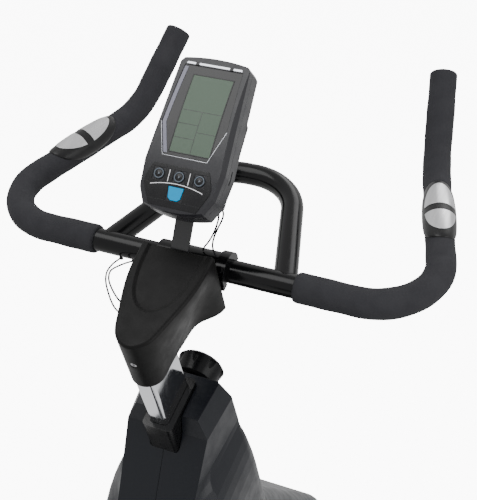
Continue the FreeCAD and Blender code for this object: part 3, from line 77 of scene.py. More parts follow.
class Finish:
    """A procedural material under construction: a Principled shader and the nodes that feed it."""

    def __init__(self, name, roughness, metallic=0.0):
        self.material = bpy.data.materials.new(name)
        self.material.use_nodes = True
        self.tree = self.material.node_tree
        self.shader = self.tree.nodes["Principled BSDF"]
        self.shader.inputs["Metallic"].default_value = metallic
        self.shader.inputs["Roughness"].default_value = roughness
        self.coords = self.tree.nodes.new("ShaderNodeTexCoord")

    def add(self, kind, **settings):
        node = self.tree.nodes.new("ShaderNode" + kind)
        for key, value in settings.items():
            setattr(node, key, value)
        return node

    def join(self, output, target):
        self.tree.links.new(output, target)

    def place(self, stretch):
        """Object coordinates, stretched along the axes."""
        mapping = self.add("Mapping")
        mapping.inputs["Scale"].default_value = stretch
        self.join(self.coords.outputs["Object"], mapping.inputs["Vector"])
        return mapping.outputs["Vector"]

    def noise(self, scale, detail=3.0, stretch=(1.0, 1.0, 1.0)):
        node = self.add("TexNoise")
        node.inputs["Scale"].default_value = scale
        node.inputs["Detail"].default_value = detail
        self.join(self.place(stretch), node.inputs["Vector"])
        return node.outputs["Fac"]

    def cells(self, scale, stretch=(1.0, 1.0, 1.0)):
        node = self.add("TexVoronoi")
        node.inputs["Scale"].default_value = scale
        self.join(self.place(stretch), node.inputs["Vector"])
        return node.outputs["Distance"]

    def spread(self, value, low, high, start=0.3, end=0.7):
        node = self.add("MapRange")
        node.inputs["From Min"].default_value = start
        node.inputs["From Max"].default_value = end
        node.inputs["To Min"].default_value = low
        node.inputs["To Max"].default_value = high
        self.join(value, node.inputs["Value"])
        return node.outputs["Result"]

    def blend(self, factor, first, second):
        """A colour between two, each a triple or another node's output."""
        node = self.add("Mix", data_type="RGBA")
        self.join(factor, node.inputs["Factor"])
        for socket, colour in ((node.inputs["A"], first), (node.inputs["B"], second)):
            if isinstance(colour, tuple):
                socket.default_value = (*colour, 1.0)
            else:
                self.join(colour, socket)
        return node.outputs["Result"]

    def colour(self, output):
        self.join(output, self.shader.inputs["Base Color"])

    def rough(self, output):
        self.join(output, self.shader.inputs["Roughness"])

    def bump(self, height, depth, strength=1.0, after=None):
        node = self.add("Bump")
        node.inputs["Distance"].default_value = depth
        node.inputs["Strength"].default_value = strength
        self.join(height, node.inputs["Height"])
        if after is not None:
            self.join(after, node.inputs["Normal"])
        self.join(node.outputs["Normal"], self.shader.inputs["Normal"])
        return node.outputs["Normal"]

    def soft_edges(self, radius):
        """Rounds sharp edges in the shading, as a moulded or rolled edge catches light."""
        node = self.add("Bevel", samples=4)
        node.inputs["Radius"].default_value = radius
        return node.outputs["Normal"]

    def set(self, **values):
        for key, value in values.items():
            self.shader.inputs[key.replace("_", " ")].default_value = value


def paint(name, tone, lighter, roughness, coat, edge=0.0006, shine=0.5):
    """Sprayed and baked paint: slight orange peel, edges that catch light."""
    f = Finish(name, roughness)
    f.colour(f.blend(f.noise(6.0), tone, lighter))
    f.rough(f.spread(f.noise(35.0), roughness - 0.04, roughness + 0.07))
    f.bump(f.noise(420.0, 2.0), 0.00004, 0.6, f.soft_edges(edge))
    f.set(Coat_Weight=coat, Coat_Roughness=0.08, Specular_IOR_Level=shine)
    return f.material


def plastic(name, tone, lighter, roughness, grain, depth, coat=0.0, edge=0.0006, shine=0.3):
    """Moulded plastic with a fine eroded grain."""
    f = Finish(name, roughness)
    f.colour(f.blend(f.noise(9.0, 4.0), tone, lighter))
    f.rough(f.spread(f.noise(60.0), roughness - 0.05, roughness + 0.08))
    f.bump(f.cells(grain), depth, 0.5, f.soft_edges(edge))
    f.set(Coat_Weight=coat, Coat_Roughness=0.12, Specular_IOR_Level=shine)
    return f.material


def metal(name, tone, darker, roughness, stretch, depth, edge=0.0004):
    """Bare metal with drawing or brushing lines along one direction."""
    f = Finish(name, roughness, 1.0)
    lines = f.noise(160.0, 5.0, stretch)
    f.colour(f.blend(f.spread(lines, 0.0, 1.0), tone, darker))
    f.rough(f.spread(lines, roughness - 0.03, roughness + 0.09))
    f.bump(lines, depth, 0.4, f.soft_edges(edge))
    return f.material


def chrome_plate():
    """Polished chrome on a drawn tube, faintly wavy, with fine handling marks."""
    f = Finish("chrome", 0.07, 1.0)
    f.colour(f.blend(f.noise(14.0), (0.80, 0.81, 0.83), (0.70, 0.71, 0.74)))
    f.rough(f.spread(f.noise(90.0, 6.0, (1.0, 1.0, 0.15)), 0.045, 0.14))
    f.bump(f.noise(22.0, 2.0, (1.0, 1.0, 0.3)), 0.0003, 0.12, f.soft_edges(0.0008))
    return f.material


def foam_rubber():
    """Closed-cell foam: matte, with small open pores and faint mottling."""
    f = Finish("foam_rubber", 0.82)
    mottle = f.blend(f.noise(55.0, 5.0), (0.022, 0.022, 0.025), (0.034, 0.034, 0.038))
    pores = f.spread(f.cells(1500.0), 1.0, 0.0, 0.05, 0.35)
    f.colour(f.blend(f.spread(f.cells(1500.0), 0.55, 0.0, 0.02, 0.25), mottle, (0.010, 0.010, 0.011)))
    f.rough(f.spread(f.noise(70.0), 0.72, 0.90))
    first = f.bump(pores, 0.00016, 0.55)
    f.bump(f.noise(38.0, 3.0), 0.0008, 0.35, first)
    f.set(Specular_IOR_Level=0.12)
    return f.material


def vinyl(name, tone, lighter):
    """Grained saddle vinyl: pebbled bump, and a painted sheen: the colour is lighter on the crowns of the
    grain.
    """
    f = Finish(name, 0.5)
    pebble_and_sheen = f.cells(620.0, (1.0, 0.8, 1.0))
    # painted sheen: the colour turns lighter towards the raised crowns of the pebbled grain, standing in for
    # their highlights
    f.colour(f.blend(f.spread(pebble_and_sheen, 0.0, 1.0, 0.1, 0.6), tone, lighter))
    f.rough(f.spread(f.noise(45.0), 0.42, 0.60))
    first = f.bump(pebble_and_sheen, 0.00022, 0.6)
    f.bump(f.noise(25.0), 0.0010, 0.3, first)
    f.set(Specular_IOR_Level=0.3)
    return f.material


def rubber(name, tone, lighter):
    """Dull rubber or cable sheath, faintly uneven."""
    f = Finish(name, 0.7)
    f.colour(f.blend(f.noise(40.0), tone, lighter))
    f.rough(f.spread(f.noise(90.0), 0.6, 0.82))
    f.bump(f.noise(700.0, 2.0), 0.0001, 0.5)
    f.set(Specular_IOR_Level=0.3)
    return f.material


def cast_iron():
    """Painted casting, slightly rough all over."""
    f = Finish("cast_iron", 0.45, 0.6)
    f.colour(f.blend(f.noise(30.0, 5.0), (0.07, 0.07, 0.075), (0.13, 0.13, 0.135)))
    f.rough(f.spread(f.noise(120.0), 0.35, 0.58))
    f.bump(f.noise(260.0, 5.0), 0.00025, 0.5, f.soft_edges(0.001))
    return f.material


def display():
    """The grey-green display, faintly glossy."""
    f = Finish("display", 0.35)
    f.colour(f.blend(f.noise(30.0, 2.0), (0.072, 0.105, 0.076), (0.084, 0.118, 0.088)))
    f.rough(f.spread(f.noise(60.0), 0.26, 0.38))
    f.set(Coat_Weight=0.1, Coat_Roughness=0.05, Specular_IOR_Level=0.1)
    return f.material


def ink(name, tone, darker, coat=0.3):
    """Printed ink or a small moulded mark."""
    f = Finish(name, 0.4)
    f.colour(f.blend(f.noise(300.0), tone, darker))
    f.rough(f.spread(f.noise(200.0), 0.3, 0.5))
    f.set(Coat_Weight=coat)
    return f.material


MATERIALS = {
    "frame_paint": paint("frame_paint", (0.008, 0.008, 0.009), (0.012, 0.012, 0.013), 0.3, 0.0),
    "bar_paint": paint("bar_paint", (0.0015, 0.0015, 0.0018), (0.0025, 0.0025, 0.003), 0.14, 0.0,
                       shine=0.22),
    "chrome": chrome_plate(),
    "steel": metal("steel", (0.52, 0.52, 0.53), (0.36, 0.36, 0.37), 0.3, (0.05, 1.0, 1.0), 0.00006),
    "flywheel_iron": cast_iron(),
    "housing_plastic": plastic("housing_plastic", (0.0045, 0.0055, 0.0085), (0.006, 0.007, 0.010),
                               0.34, 1500.0,
                               0.00004, 0.0, 0.0012, 0.25),
    "cover_plastic": plastic("cover_plastic", (0.0035, 0.0035, 0.0035), (0.0045, 0.0045, 0.0045),
                             0.42, 1300.0,
                             0.00006, 0.0, 0.0012, 0.13),
    "cap_plastic": plastic("cap_plastic", (0.020, 0.020, 0.022), (0.045, 0.045, 0.047), 0.5, 1200.0,
                           0.00008),
    "bush_plastic": plastic("bush_plastic", (0.002, 0.002, 0.0022), (0.0035, 0.0035, 0.004), 0.22,
                            1800.0, 0.00002, 0.0,
                            0.0006, 0.3),
    "knob_plastic": plastic("knob_plastic", (0.003, 0.003, 0.0035), (0.005, 0.005, 0.0055), 0.22,
                            1800.0, 0.00003,
                            0.0, 0.0012, 0.14),
    "rubber": rubber("rubber", (0.014, 0.014, 0.014), (0.05, 0.05, 0.05)),
    "cable_sheath": rubber("cable_sheath", (0.004, 0.004, 0.005), (0.008, 0.008, 0.010)),
    "saddle_vinyl": vinyl("saddle_vinyl", (0.014, 0.014, 0.015), (0.032, 0.032, 0.034)),
    "sensor_plate": metal("sensor_plate", (0.66, 0.66, 0.67), (0.50, 0.50, 0.51), 0.26,
                          (1.0, 0.06, 0.2), 0.00005),
    "sensor_housing": plastic("sensor_housing", (0.003, 0.003, 0.0035), (0.005, 0.005, 0.0055), 0.35,
                              1500.0, 0.00004),
    "console_shell": plastic("console_shell", (0.013, 0.013, 0.016), (0.016, 0.016, 0.019), 0.3,
                             1700.0, 0.00003,
                             0.05),
    "console_lens": plastic("console_lens", (0.008, 0.008, 0.009), (0.010, 0.010, 0.011), 0.14,
                            900.0, 0.000005,
                            0.0),
    "lcd": display(),
    "button_ring": plastic("button_ring", (0.008, 0.008, 0.009), (0.012, 0.012, 0.014), 0.25, 1500.0,
                           0.00002, 0.1),
    "button_blue": plastic("button_blue", (0.0, 0.26, 0.52), (0.0, 0.30, 0.58), 0.35, 1500.0,
                           0.00002, 0.0,
                           0.0006, 0.05),
    "foam": foam_rubber(),
    "white_ink": ink("white_ink", (0.80, 0.80, 0.82), (0.70, 0.70, 0.73)),
    "dark_ink": ink("dark_ink", (0.012, 0.018, 0.013), (0.018, 0.025, 0.019), 0.0),
    "silver_trim": metal("silver_trim", (0.52, 0.53, 0.56), (0.40, 0.41, 0.45), 0.2, (0.1, 1.0, 1.0),
                         0.00002),
    # painted reflection: a lighter bluish colour for the lens's left bevel, standing in for light caught in
    # its edge
    "bevel_painted_reflection": plastic("bevel_painted_reflection", (0.10, 0.10, 0.14), (0.14, 0.14, 0.19), 0.2, 900.0,
                            0.00001, 0.3),
    "panel_gloss": plastic("panel_gloss", (0.0035, 0.0035, 0.0045), (0.005, 0.005, 0.006), 0.24,
                           1600.0, 0.00002, 0.0),
    "ring_line": ink("ring_line", (0.045, 0.060, 0.080), (0.060, 0.080, 0.105)),
    "amber": ink("amber", (0.55, 0.14, 0.01), (0.70, 0.22, 0.02), 1.0),
}


def dress_cad():
    """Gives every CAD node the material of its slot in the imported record."""
    for part in frame["record"]["subparts"]:
        node = nodes[part["node"]]
        material = MATERIALS[part["material_slot"]]
        if not node.data.materials:
            node.data.materials.append(material)
        for i in range(len(node.data.materials)):
            node.data.materials[i] = material


# ---------------------------------------------------------------- mesh building

def new_piece(name, bm, material, body, smooth=True):
    """Turns a finished bmesh into a piece that rides on a body."""
    bmesh.ops.recalc_face_normals(bm, faces=bm.faces)
    mesh = bpy.data.meshes.new(name)
    bm.to_mesh(mesh)
    bm.free()
    piece = bpy.data.objects.new(name, mesh)
    bpy.context.scene.collection.objects.link(piece)
    mesh.materials.append(MATERIALS[material])
    if smooth:
        mesh.shade_smooth()
    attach(piece, body)
    return piece


def bevel(piece, width, segments=3, angle=40.0):
    modifier = piece.modifiers.new("bevel", "BEVEL")
    modifier.width = width
    modifier.segments = segments
    modifier.limit_method = "ANGLE"
    modifier.angle_limit = math.radians(angle)
    modifier.harden_normals = True


def skin(bm, loops):
    """Faces round a row of four-cornered loops of vertices, closed at both ends."""
    for a, b in zip(loops, loops[1:]):
        for k in range(4):
            n = (k + 1) % 4
            bm.faces.new((a[k], a[n], b[n], b[k]))
    bm.faces.new(loops[0])
    bm.faces.new(loops[-1])


def rounded_route(points, radii, step=0.006):
    """Closely spaced points along straight runs joined by tangent arcs."""
    route = [points[0]]
    for before, corner, after, radius in zip(points, points[1:], points[2:], radii):
        into = (corner - before).normalized()
        out = (after - corner).normalized()
        half = into.angle(out) / 2.0
        reach = radius * math.tan(half)
        centre = corner + (out - into).normalized() * (radius / math.cos(half))
        spoke = (corner - into * reach) - centre
        axis = into.cross(out).normalized()
        count = max(4, int(2.0 * half * radius / step))
        for i in range(count + 1):
            route.append(centre + Matrix.Rotation(2.0 * half * i / count, 3, axis) @ spoke)
    route.append(points[-1])
    filled = []
    for a, b in zip(route, route[1:]):
        count = max(1, int((b - a).length / step))
        filled += [a.lerp(b, i / count) for i in range(count)]
    return filled + [route[-1]]


def sweep(bm, route, radii, sides=48):
    """A closed round tube along a route, with its own radius at each point."""
    rings = []
    side = Vector((0.0, 0.0, 1.0))
    for i, point in enumerate(route):
        ahead = route[min(i + 1, len(route) - 1)] - route[max(i - 1, 0)]
        along = ahead.normalized()
        side = (side - along * side.dot(along)).normalized()
        across = along.cross(side)
        ring = []
        for k in range(sides):
            angle = 2.0 * math.pi * k / sides
            ring.append(bm.verts.new(point + (side * math.cos(angle) + across * math.sin(angle)) * radii[i]))
        rings.append(ring)
    for a, b in zip(rings, rings[1:]):
        for k in range(sides):
            bm.faces.new((a[k], a[(k + 1) % sides], b[(k + 1) % sides], b[k]))
    bm.faces.new(rings[0])
    bm.faces.new(rings[-1])


def disc_profile(bm, centre, axis, profile, sides=64):
    """A turned solid about an axis: profile lists (radius, height), from the axis round to the axis."""
    turn = axis.to_track_quat("Z", "Y").to_matrix()
    rings = []
    for radius, height in profile:
        if radius < 1e-6:
            rings.append([bm.verts.new(centre + turn @ Vector((0.0, 0.0, height)))])
            continue
        ring = []
        for k in range(sides):
            angle = 2.0 * math.pi * k / sides
            point = Vector((radius * math.cos(angle), radius * math.sin(angle), height))
            ring.append(bm.verts.new(centre + turn @ point))
        rings.append(ring)
    for a, b in zip(rings, rings[1:]):
        for k in range(sides):
            n = (k + 1) % sides
            corners = [a[k % len(a)], a[n % len(a)], b[n % len(b)], b[k % len(b)]]
            unique = list(dict.fromkeys(corners))
            if len(unique) > 2:
                bm.faces.new(unique)


# ---------------------------------------------------------------- leads

CABLE_ROUTES = {
    "cable_left_outer": [
        (-0.095, -0.0076, -0.0136), (-0.099, -0.017, -0.015), (-0.097, -0.034, -0.013),
        (-0.091, -0.051, -0.009),
        (-0.082, -0.068, -0.008), (-0.070, -0.084, -0.008), (-0.057, -0.099, -0.010),
        (-0.045, -0.108, -0.014),
        (-0.035, -0.106, -0.020)],
    "cable_left_inner": [
        (-0.078, -0.0076, -0.0136), (-0.085, -0.015, -0.014), (-0.088, -0.030, -0.011),
        (-0.086, -0.046, -0.005),
        (-0.080, -0.062, 0.001), (-0.071, -0.079, 0.004), (-0.058, -0.094, 0.004),
        (-0.045, -0.104, 0.000),
        (-0.037, -0.104, -0.007)],
    "cable_console_thin": [
        (0.034, -0.0116, 0.0901), (0.034, -0.0035, 0.0825), (0.034, -0.001, 0.071),
        (0.0315, -0.004, 0.058),
        (0.027, -0.006, 0.046), (0.021, -0.005, 0.035), (0.015, -0.003, 0.027),
        (0.013, -0.0012, 0.0211)],
    "cable_console_thick": [
        (0.040, -0.0116, 0.0901), (0.040, -0.0015, 0.0807), (0.038, 0.001, 0.069),
        (0.033, -0.002, 0.057),
        (0.029, -0.004, 0.046), (0.0265, -0.0045, 0.035), (0.028, -0.0063, 0.028),
        (0.033, -0.0069, 0.0201)],
}


def lead(node, route):
    """One thin lead as a smooth curve on its chosen points."""
    curve = bpy.data.curves.new(node + "_lead", "CURVE")
    curve.dimensions = "3D"
    curve.bevel_depth = CABLE_RADIUS
    curve.bevel_resolution = 4
    curve.resolution_u = 12
    curve.use_fill_caps = True
    spline = curve.splines.new("NURBS")
    spline.points.add(len(route) - 1)
    places = [bar + Vector(point) for point in route]
    for point, place in zip(spline.points, places):
        point.co = (*place, 1.0)
    spline.order_u = 3
    spline.use_endpoint_u = True
    piece = bpy.data.objects.new(node + "_lead", curve)
    bpy.context.scene.collection.objects.link(piece)
    curve.materials.append(MATERIALS["cable_sheath"])
    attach(piece, "handlebar")
    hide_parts(node)


# ---------------------------------------------------------------- foam grips

def foam_grip(side, node):
    """A foam sleeve from the cross bar to past the bar's tip, rounded at both rims."""
    points = [Vector((GRIP_START, 0.0, 0.0)), BAR_CORNER, BAR_BEND, BAR_TIP]
    route = rounded_route(points, [BAR_CORNER_RADIUS, BAR_BEND_RADIUS])
    rim = 0.0035
    lengths = [0.0]
    for a, b in zip(route, route[1:]):
        lengths.append(lengths[-1] + (b - a).length)
    first_along = (route[1] - route[0]).normalized()
    last_along = (route[-1] - route[-2]).normalized()
    quarter = [math.pi / 2.0 * i / 5.0 for i in range(6)]
    swept = [route[0] + first_along * rim * (1.0 - math.cos(angle)) for angle in quarter]
    radii = [GRIP_RADIUS - rim * (1.0 - math.sin(angle)) for angle in quarter]
    for far, place in zip(lengths, route):
        if rim < far < lengths[-1] - rim:
            swept.append(place)
            radii.append(GRIP_RADIUS + 0.00022 * math.sin(far * 71.0) + 0.00016 * math.sin(far * 173.0 + 1.0))
    for angle in reversed(quarter):
        swept.append(route[-1] - last_along * rim * (1.0 - math.cos(angle)))
        radii.append(GRIP_RADIUS - rim * (1.0 - math.sin(angle)))
    swept = [bar + Vector((side * p.x, p.y, p.z)) for p in swept]
    bm = bmesh.new()
    sweep(bm, swept, radii)
    piece = new_piece(node + "_foam", bm, "foam", "handlebar")
    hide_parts(node)


# ---------------------------------------------------------------- pulse sensors

SENSOR_HALF_LENGTH = 0.0555
SENSOR_AHEAD = 0.0058
SENSOR_WRAP = math.radians(108.0)
SENSOR_FOOT = GRIP_RADIUS + 0.0001
SENSOR_BULGE = 0.0048
PLATE_MIDDLE = 0.0016
PLATE_HALF_LENGTH = 0.0454
PLATE_WRAP = math.radians(56.0)
BAND_MIDDLE = -0.0020
BAND_HALF = 0.0060


def sensor_frame():
    """Middle, direction and upward direction of the right sensor's straight of bar."""
    along = (BAR_BEND - BAR_CORNER).normalized()
    turn_one = Vector((1.0, 0.0, 0.0)).angle(along) / 2.0
    turn_two = along.angle(BAR_TIP - BAR_BEND) / 2.0
    first = BAR_CORNER + along * (BAR_CORNER_RADIUS * math.tan(turn_one))
    last = BAR_BEND - along * (BAR_BEND_RADIUS * math.tan(turn_two))
    up = (Vector((0.0, 0.0, 1.0)) - along * along.z).normalized()
    return (first + last) / 2.0 + along * SENSOR_AHEAD, along, up


def sensor_point(side, far, turn, radius):
    """A point round the bar at the sensor: along it, turned from the top, and out from its middle line."""
    middle, along, up = sensor_frame()
    across = along.cross(up)
    point = middle + along * far + (up * math.cos(turn) + across * math.sin(turn)) * radius
    return bar + Vector((side * point.x, point.y, point.z))


def sensor_level(far, turn):
    """The radius of the moulded shell's bulging surface."""
    share = (far / SENSOR_HALF_LENGTH) ** 2 + (turn / SENSOR_WRAP) ** 2
    return SENSOR_FOOT + SENSOR_BULGE * math.sqrt(max(0.0, 1.0 - share))


def close_grid(bm, top, bottom):
    """Faces over two matching grids of vertices and round their shared rim."""
    for grid in (top, bottom):
        for a, b in zip(grid, grid[1:]):
            for k in range(len(a) - 1):
                bm.faces.new((a[k], a[k + 1], b[k + 1], b[k]))
    def rim(grid):
        return grid[0] + [row[-1] for row in grid[1:-1]] + grid[-1][::-1] + [row[0] for row in grid[-2:0:-1]]
    upper, lower = rim(top), rim(bottom)
    for k in range(len(upper)):
        n = (k + 1) % len(upper)
        bm.faces.new((upper[k], upper[n], lower[n], lower[k]))


def sensor_shells():
    """The two oval moulded shells that bulge out of the grips."""
    bm = bmesh.new()
    rings, spokes = 16, 72
    for side in (-1, 1):
        layers = []
        for level in (sensor_level, lambda far, turn: SENSOR_FOOT - 0.0008):
            layer = []
            for i in range(1, rings + 1):
                share = math.sin(math.pi / 2.0 * i / rings)
                ring = []
                for k in range(spokes):
                    angle = 2.0 * math.pi * k / spokes
                    far = SENSOR_HALF_LENGTH * share * math.cos(angle)
                    turn = SENSOR_WRAP * share * math.sin(angle)
                    ring.append(bm.verts.new(sensor_point(side, far, turn, level(far, turn))))
                layer.append(ring)
            centre = bm.verts.new(sensor_point(side, 0.0, 0.0, level(0.0, 0.0)))
            for k in range(spokes):
                n = (k + 1) % spokes
                bm.faces.new((centre, layer[0][k], layer[0][n]))
                for a, b in zip(layer, layer[1:]):
                    bm.faces.new((a[k], a[n], b[n], b[k]))
            layers.append(layer)
        upper, lower = layers[0][-1], layers[1][-1]
        for k in range(spokes):
            n = (k + 1) % spokes
            bm.faces.new((upper[k], upper[n], lower[n], lower[k]))
    piece = new_piece("sensor_shells", bm, "sensor_housing", "handlebar")
    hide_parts("pulse_housings")


def sensor_plates():
    """Four brushed contact plates, two on each shell, with a dark band between."""
    bm = bmesh.new()
    rows, columns = 28, 20
    for side in (-1, 1):
        for end in (-1, 1):
            near = BAND_MIDDLE + end * BAND_HALF - PLATE_MIDDLE
            tip = end * PLATE_HALF_LENGTH * 0.998
            grids = ([], [])
            for i in range(rows + 1):
                far = near + (tip - near) * math.sin(math.pi / 2.0 * i / rows)
                half = PLATE_WRAP * math.sqrt(1.0 - (far / PLATE_HALF_LENGTH) ** 2)
                for grid, rise in zip(grids, (0.0005, -0.0006)):
                    row = []
                    for k in range(columns + 1):
                        turn = half * (2.0 * k / columns - 1.0)
                        place = PLATE_MIDDLE + far
                        level = sensor_level(place, turn) + rise
                        row.append(bm.verts.new(sensor_point(side, place, turn, level)))
                    grid.append(row)
            close_grid(bm, *grids)
    piece = new_piece("sensor_plates", bm, "sensor_plate", "handlebar")
    bevel(piece, 0.0003, 2)
    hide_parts("pulse_plates")


# ---------------------------------------------------------------- console details

def console_point(x, e, n):
    """A point of the console frame: e up its face, n out of it."""
    s, c = math.sin(CONSOLE_LEAN), math.cos(CONSOLE_LEAN)
    return bar + Vector((x, e * s - n * c, e * c + n * s))


def crown_level(e):
    """How far out of the face the console's crown stands at a height up the face."""
    return CROWN_HEIGHT - CROWN_RADIUS + math.sqrt(CROWN_RADIUS ** 2 - (e - CROWN_AT) ** 2)


def crown_plate(name, rows, low, high, material, slot, edge=0.0003):
    """A thin plate that follows the console's crown. rows lists (e, left x, right x) up the face."""
    bm = bmesh.new()
    fine = []
    for (e0, l0, r0), (e1, l1, r1) in zip(rows, rows[1:]):
        count = max(1, int(abs(e1 - e0) / 0.005))
        for i in range(count):
            t = i / count
            fine.append((e0 + (e1 - e0) * t, l0 + (l1 - l0) * t, r0 + (r1 - r0) * t))
    fine.append(rows[-1])
    loops = []
    for e, left, right in fine:
        level = crown_level(e)
        loops.append([bm.verts.new(console_point(x, e, level + rise))
                      for x, rise in ((left, low), (right, low), (right, high), (left, high))])
    skin(bm, loops)
    piece = new_piece(name, bm, material, "handlebar", smooth=False)
    if edge:
        bevel(piece, edge, 2)
    return piece


def lens_half_width(e):
    """The lens outline's half width at a height up the face."""
    if e > 0.133:
        return 0.0396 + (0.0356 - 0.0396) * (e - 0.133) / (0.205 - 0.133)
    return 0.0270 + (0.0396 - 0.0270) * (e - 0.096) / (0.133 - 0.096)


def lcd_graphics():
    """The display drawn on the opaque lens, with its frame and dividing lines."""
    bottom, top, left, right = 0.1009, 0.1934, -0.0206, 0.0280
    middle = 0.0046
    base = -LENS_INSET
    film = 0.00012
    crown_plate("display_window", [(bottom, left, right), (top, left, right)], base, base + film,
                "lcd", "lcd", 0.0)
    line = 0.00035
    split = 0.1509
    above = (base + film, base + 0.0002)
    for name, e, start, end in (("main", split, left, right), ("left_upper", 0.1346, left, middle),
                                ("left_lower", 0.1178, left, middle), ("right", 0.1267, middle, right)):
        crown_plate("display_line_" + name, [(e - line, start, end), (e + line, start, end)], *above,
                    "dark_ink", "lcd", 0.0)
    upright = (middle - line, middle + line)
    crown_plate("display_line_upright", [(bottom, *upright), (split, *upright)], *above, "dark_ink",
                "lcd", 0.0)
    rim = 0.0012
    for name, start, end in (("left", left - rim, left), ("right", right, right + rim)):
        crown_plate("display_rim_" + name, [(bottom - rim, start, end), (top + rim, start, end)],
                    base, base + 0.0003, "panel_gloss", "console_shell", 0.0)
    for name, e in (("bottom", bottom - rim), ("top", top)):
        crown_plate("display_rim_" + name, [(e, left - rim, right + rim),
                                            (e + rim, left - rim, right + rim)],
                    base, base + 0.0003, "panel_gloss", "console_shell", 0.0)


def lens_trim():
    """The lens's left bevel with a painted reflection (a lighter bluish colour on this side only), the bright
    line round its lower edge and the strip along its top.
    """
    base = -LENS_INSET
    rows = []
    for e in (0.098, 0.108, 0.118, 0.133, 0.150, 0.170, 0.190, 0.203):
        half = lens_half_width(e)
        rows.append((e, -half + 0.0006, -half + 0.0052))
    # painted reflection: the left bevel alone is coloured lighter and bluish for the light it catches
    crown_plate("lens_bevel_left", rows, base, base + 0.0004, "bevel_painted_reflection", "console_lens", 0.0)
    for side, label in SIDES:
        rows = []
        for e in (0.0955, 0.108, 0.120, 0.133):
            x = side * (lens_half_width(e) + 0.0004)
            rows.append((e, min(x, x + side * 0.0005), max(x, x + side * 0.0005)))
        crown_plate("lens_line_" + label, rows, -0.0003, 0.0004, "silver_trim", "console_shell", 0.0)
    crown_plate("lens_line_bottom", [(0.0950, -0.0274, 0.0274), (0.0955, -0.0274, 0.0274)], -0.0003,
                0.0004,
                "silver_trim", "console_shell", 0.0)
    crown_plate("top_strip", [(0.2062, -0.0345, 0.0345), (0.2090, -0.0335, 0.0335)], -0.0006, 0.0005,
                "silver_trim", "console_shell", 0.0002)
    for side, label in SIDES:
        x = side * 0.021
        crown_plate("top_clip_" + label, [(0.2055, x - 0.0022, x + 0.0022),
                                          (0.2092, x - 0.0022, x + 0.0022)],
                    -0.0004, 0.0010, "panel_gloss", "console_shell", 0.0004)


def button_panel():
    """The raised gloss panel round the buttons, in bands that leave the buttons free."""
    clear = BUTTON_RADIUS + 0.0009
    low, high = -0.0004, 0.0007
    outline = [(0.0385, 0.0290), (0.0435, 0.0318), (0.0600, 0.0400), (0.0680, 0.0405), (0.0850, 0.0340)]

    def half(e):
        for (e0, x0), (e1, x1) in zip(outline, outline[1:]):
            if e <= e1:
                return x0 + (x1 - x0) * (e - e0) / (e1 - e0)
        return outline[-1][1]

    def band(name, e0, e1, left=None, right=None):
        rows = []
        count = 6
        for i in range(count + 1):
            e = e0 + (e1 - e0) * i / count
            l = -half(e) if left is None else left
            r = half(e) if right is None else right
            rows.append((e, l, r))
        crown_plate(name, rows, low, high, "panel_gloss", "console_shell", 0.0)

    foot, shield_foot, shield_head, head = 0.0385, 0.0458, 0.0628, 0.0850
    shield = 0.0101
    band("panel_foot", foot, shield_foot)
    band("panel_low_left", shield_foot, shield_head, right=-shield)
    band("panel_low_right", shield_foot, shield_head, left=shield)
    band("panel_middle", shield_head, BUTTON_ROW - clear)
    e0, e1 = BUTTON_ROW - clear, BUTTON_ROW + clear
    band("panel_row_left", e0, e1, right=-BUTTON_SPACING - clear)
    band("panel_row_inner_left", e0, e1, -BUTTON_SPACING + clear, -clear)
    band("panel_row_inner_right", e0, e1, clear, BUTTON_SPACING - clear)
    band("panel_row_right", e0, e1, left=BUTTON_SPACING + clear)
    band("panel_head", BUTTON_ROW + clear, head)


def button_rings():
    """A thin dim ring, a dished face and a triangle on each round button, and two lines between them."""
    face = Vector((0.0, -math.cos(CONSOLE_LEAN), math.sin(CONSOLE_LEAN)))
    for name, x in (("button_left", -BUTTON_SPACING), ("button_middle", 0.0),
                    ("button_right", BUTTON_SPACING)):
        level = crown_level(BUTTON_ROW) + 0.0008
        centre = console_point(x, BUTTON_ROW, level)
        bm = bmesh.new()
        ring = [(0.0045, 0.0), (0.0045, 0.0005), (0.0049, 0.0009), (0.0056, 0.0009),
                (0.0060, 0.0005), (0.0060, 0.0)]
        disc_profile(bm, centre, face, ring + ring[:1])
        new_piece(name + "_ring", bm, "ring_line", name)
        bm = bmesh.new()
        disc_profile(bm, centre, face, [(0.0, 0.0001), (0.0030, 0.0002), (0.0043, 0.0006),
                                        (0.0044, 0.0), (0.0, 0.0)])
        new_piece(name + "_face", bm, "panel_gloss", name)
        bm = bmesh.new()
        mark = 0.0016
        disc_profile(bm, centre + face * 0.0002, face, [(0.0, 0.0003), (mark, 0.0003), (mark, 0.0),
                                                        (0.0, 0.0)], 3)
        new_piece(name + "_mark", bm, "ring_line", name, smooth=False)
    for side, label in SIDES:
        x = side * BUTTON_SPACING / 2.0
        crown_plate("separator_" + label, [(0.0665, x - 0.0004, x + 0.0004),
                                           (0.0800, x - 0.0004, x + 0.0004)],
                    0.0007, 0.0009, "white_ink", "console_shell", 0.0)


def shield_arc():
    """The thin white arc over the shield-shaped button."""
    bm = bmesh.new()
    count, half, thin = 24, 0.032, 0.0004
    foot, rise, low, high = 0.0605, 0.0048, 0.0007, 0.0010
    loops = []
    for i in range(count + 1):
        x = -half + 2.0 * half * i / count
        e = foot + rise * (1.0 - (x / half) ** 2)
        loops.append([bm.verts.new(console_point(x, e + aside, crown_level(e) + level))
                      for aside, level in ((-thin, low), (thin, low), (thin, high), (-thin, high))])
    skin(bm, loops)
    new_piece("shield_arc", bm, "white_ink", "handlebar", smooth=False)


# ---------------------------------------------------------------- saddle

def apply_modifiers(piece):
    """Replaces a piece's mesh with what its modifiers make of it."""
    bpy.context.view_layer.update()
    made = bpy.data.meshes.new_from_object(piece.evaluated_get(bpy.context.evaluated_depsgraph_get()))
    piece.modifiers.clear()
    piece.data = made


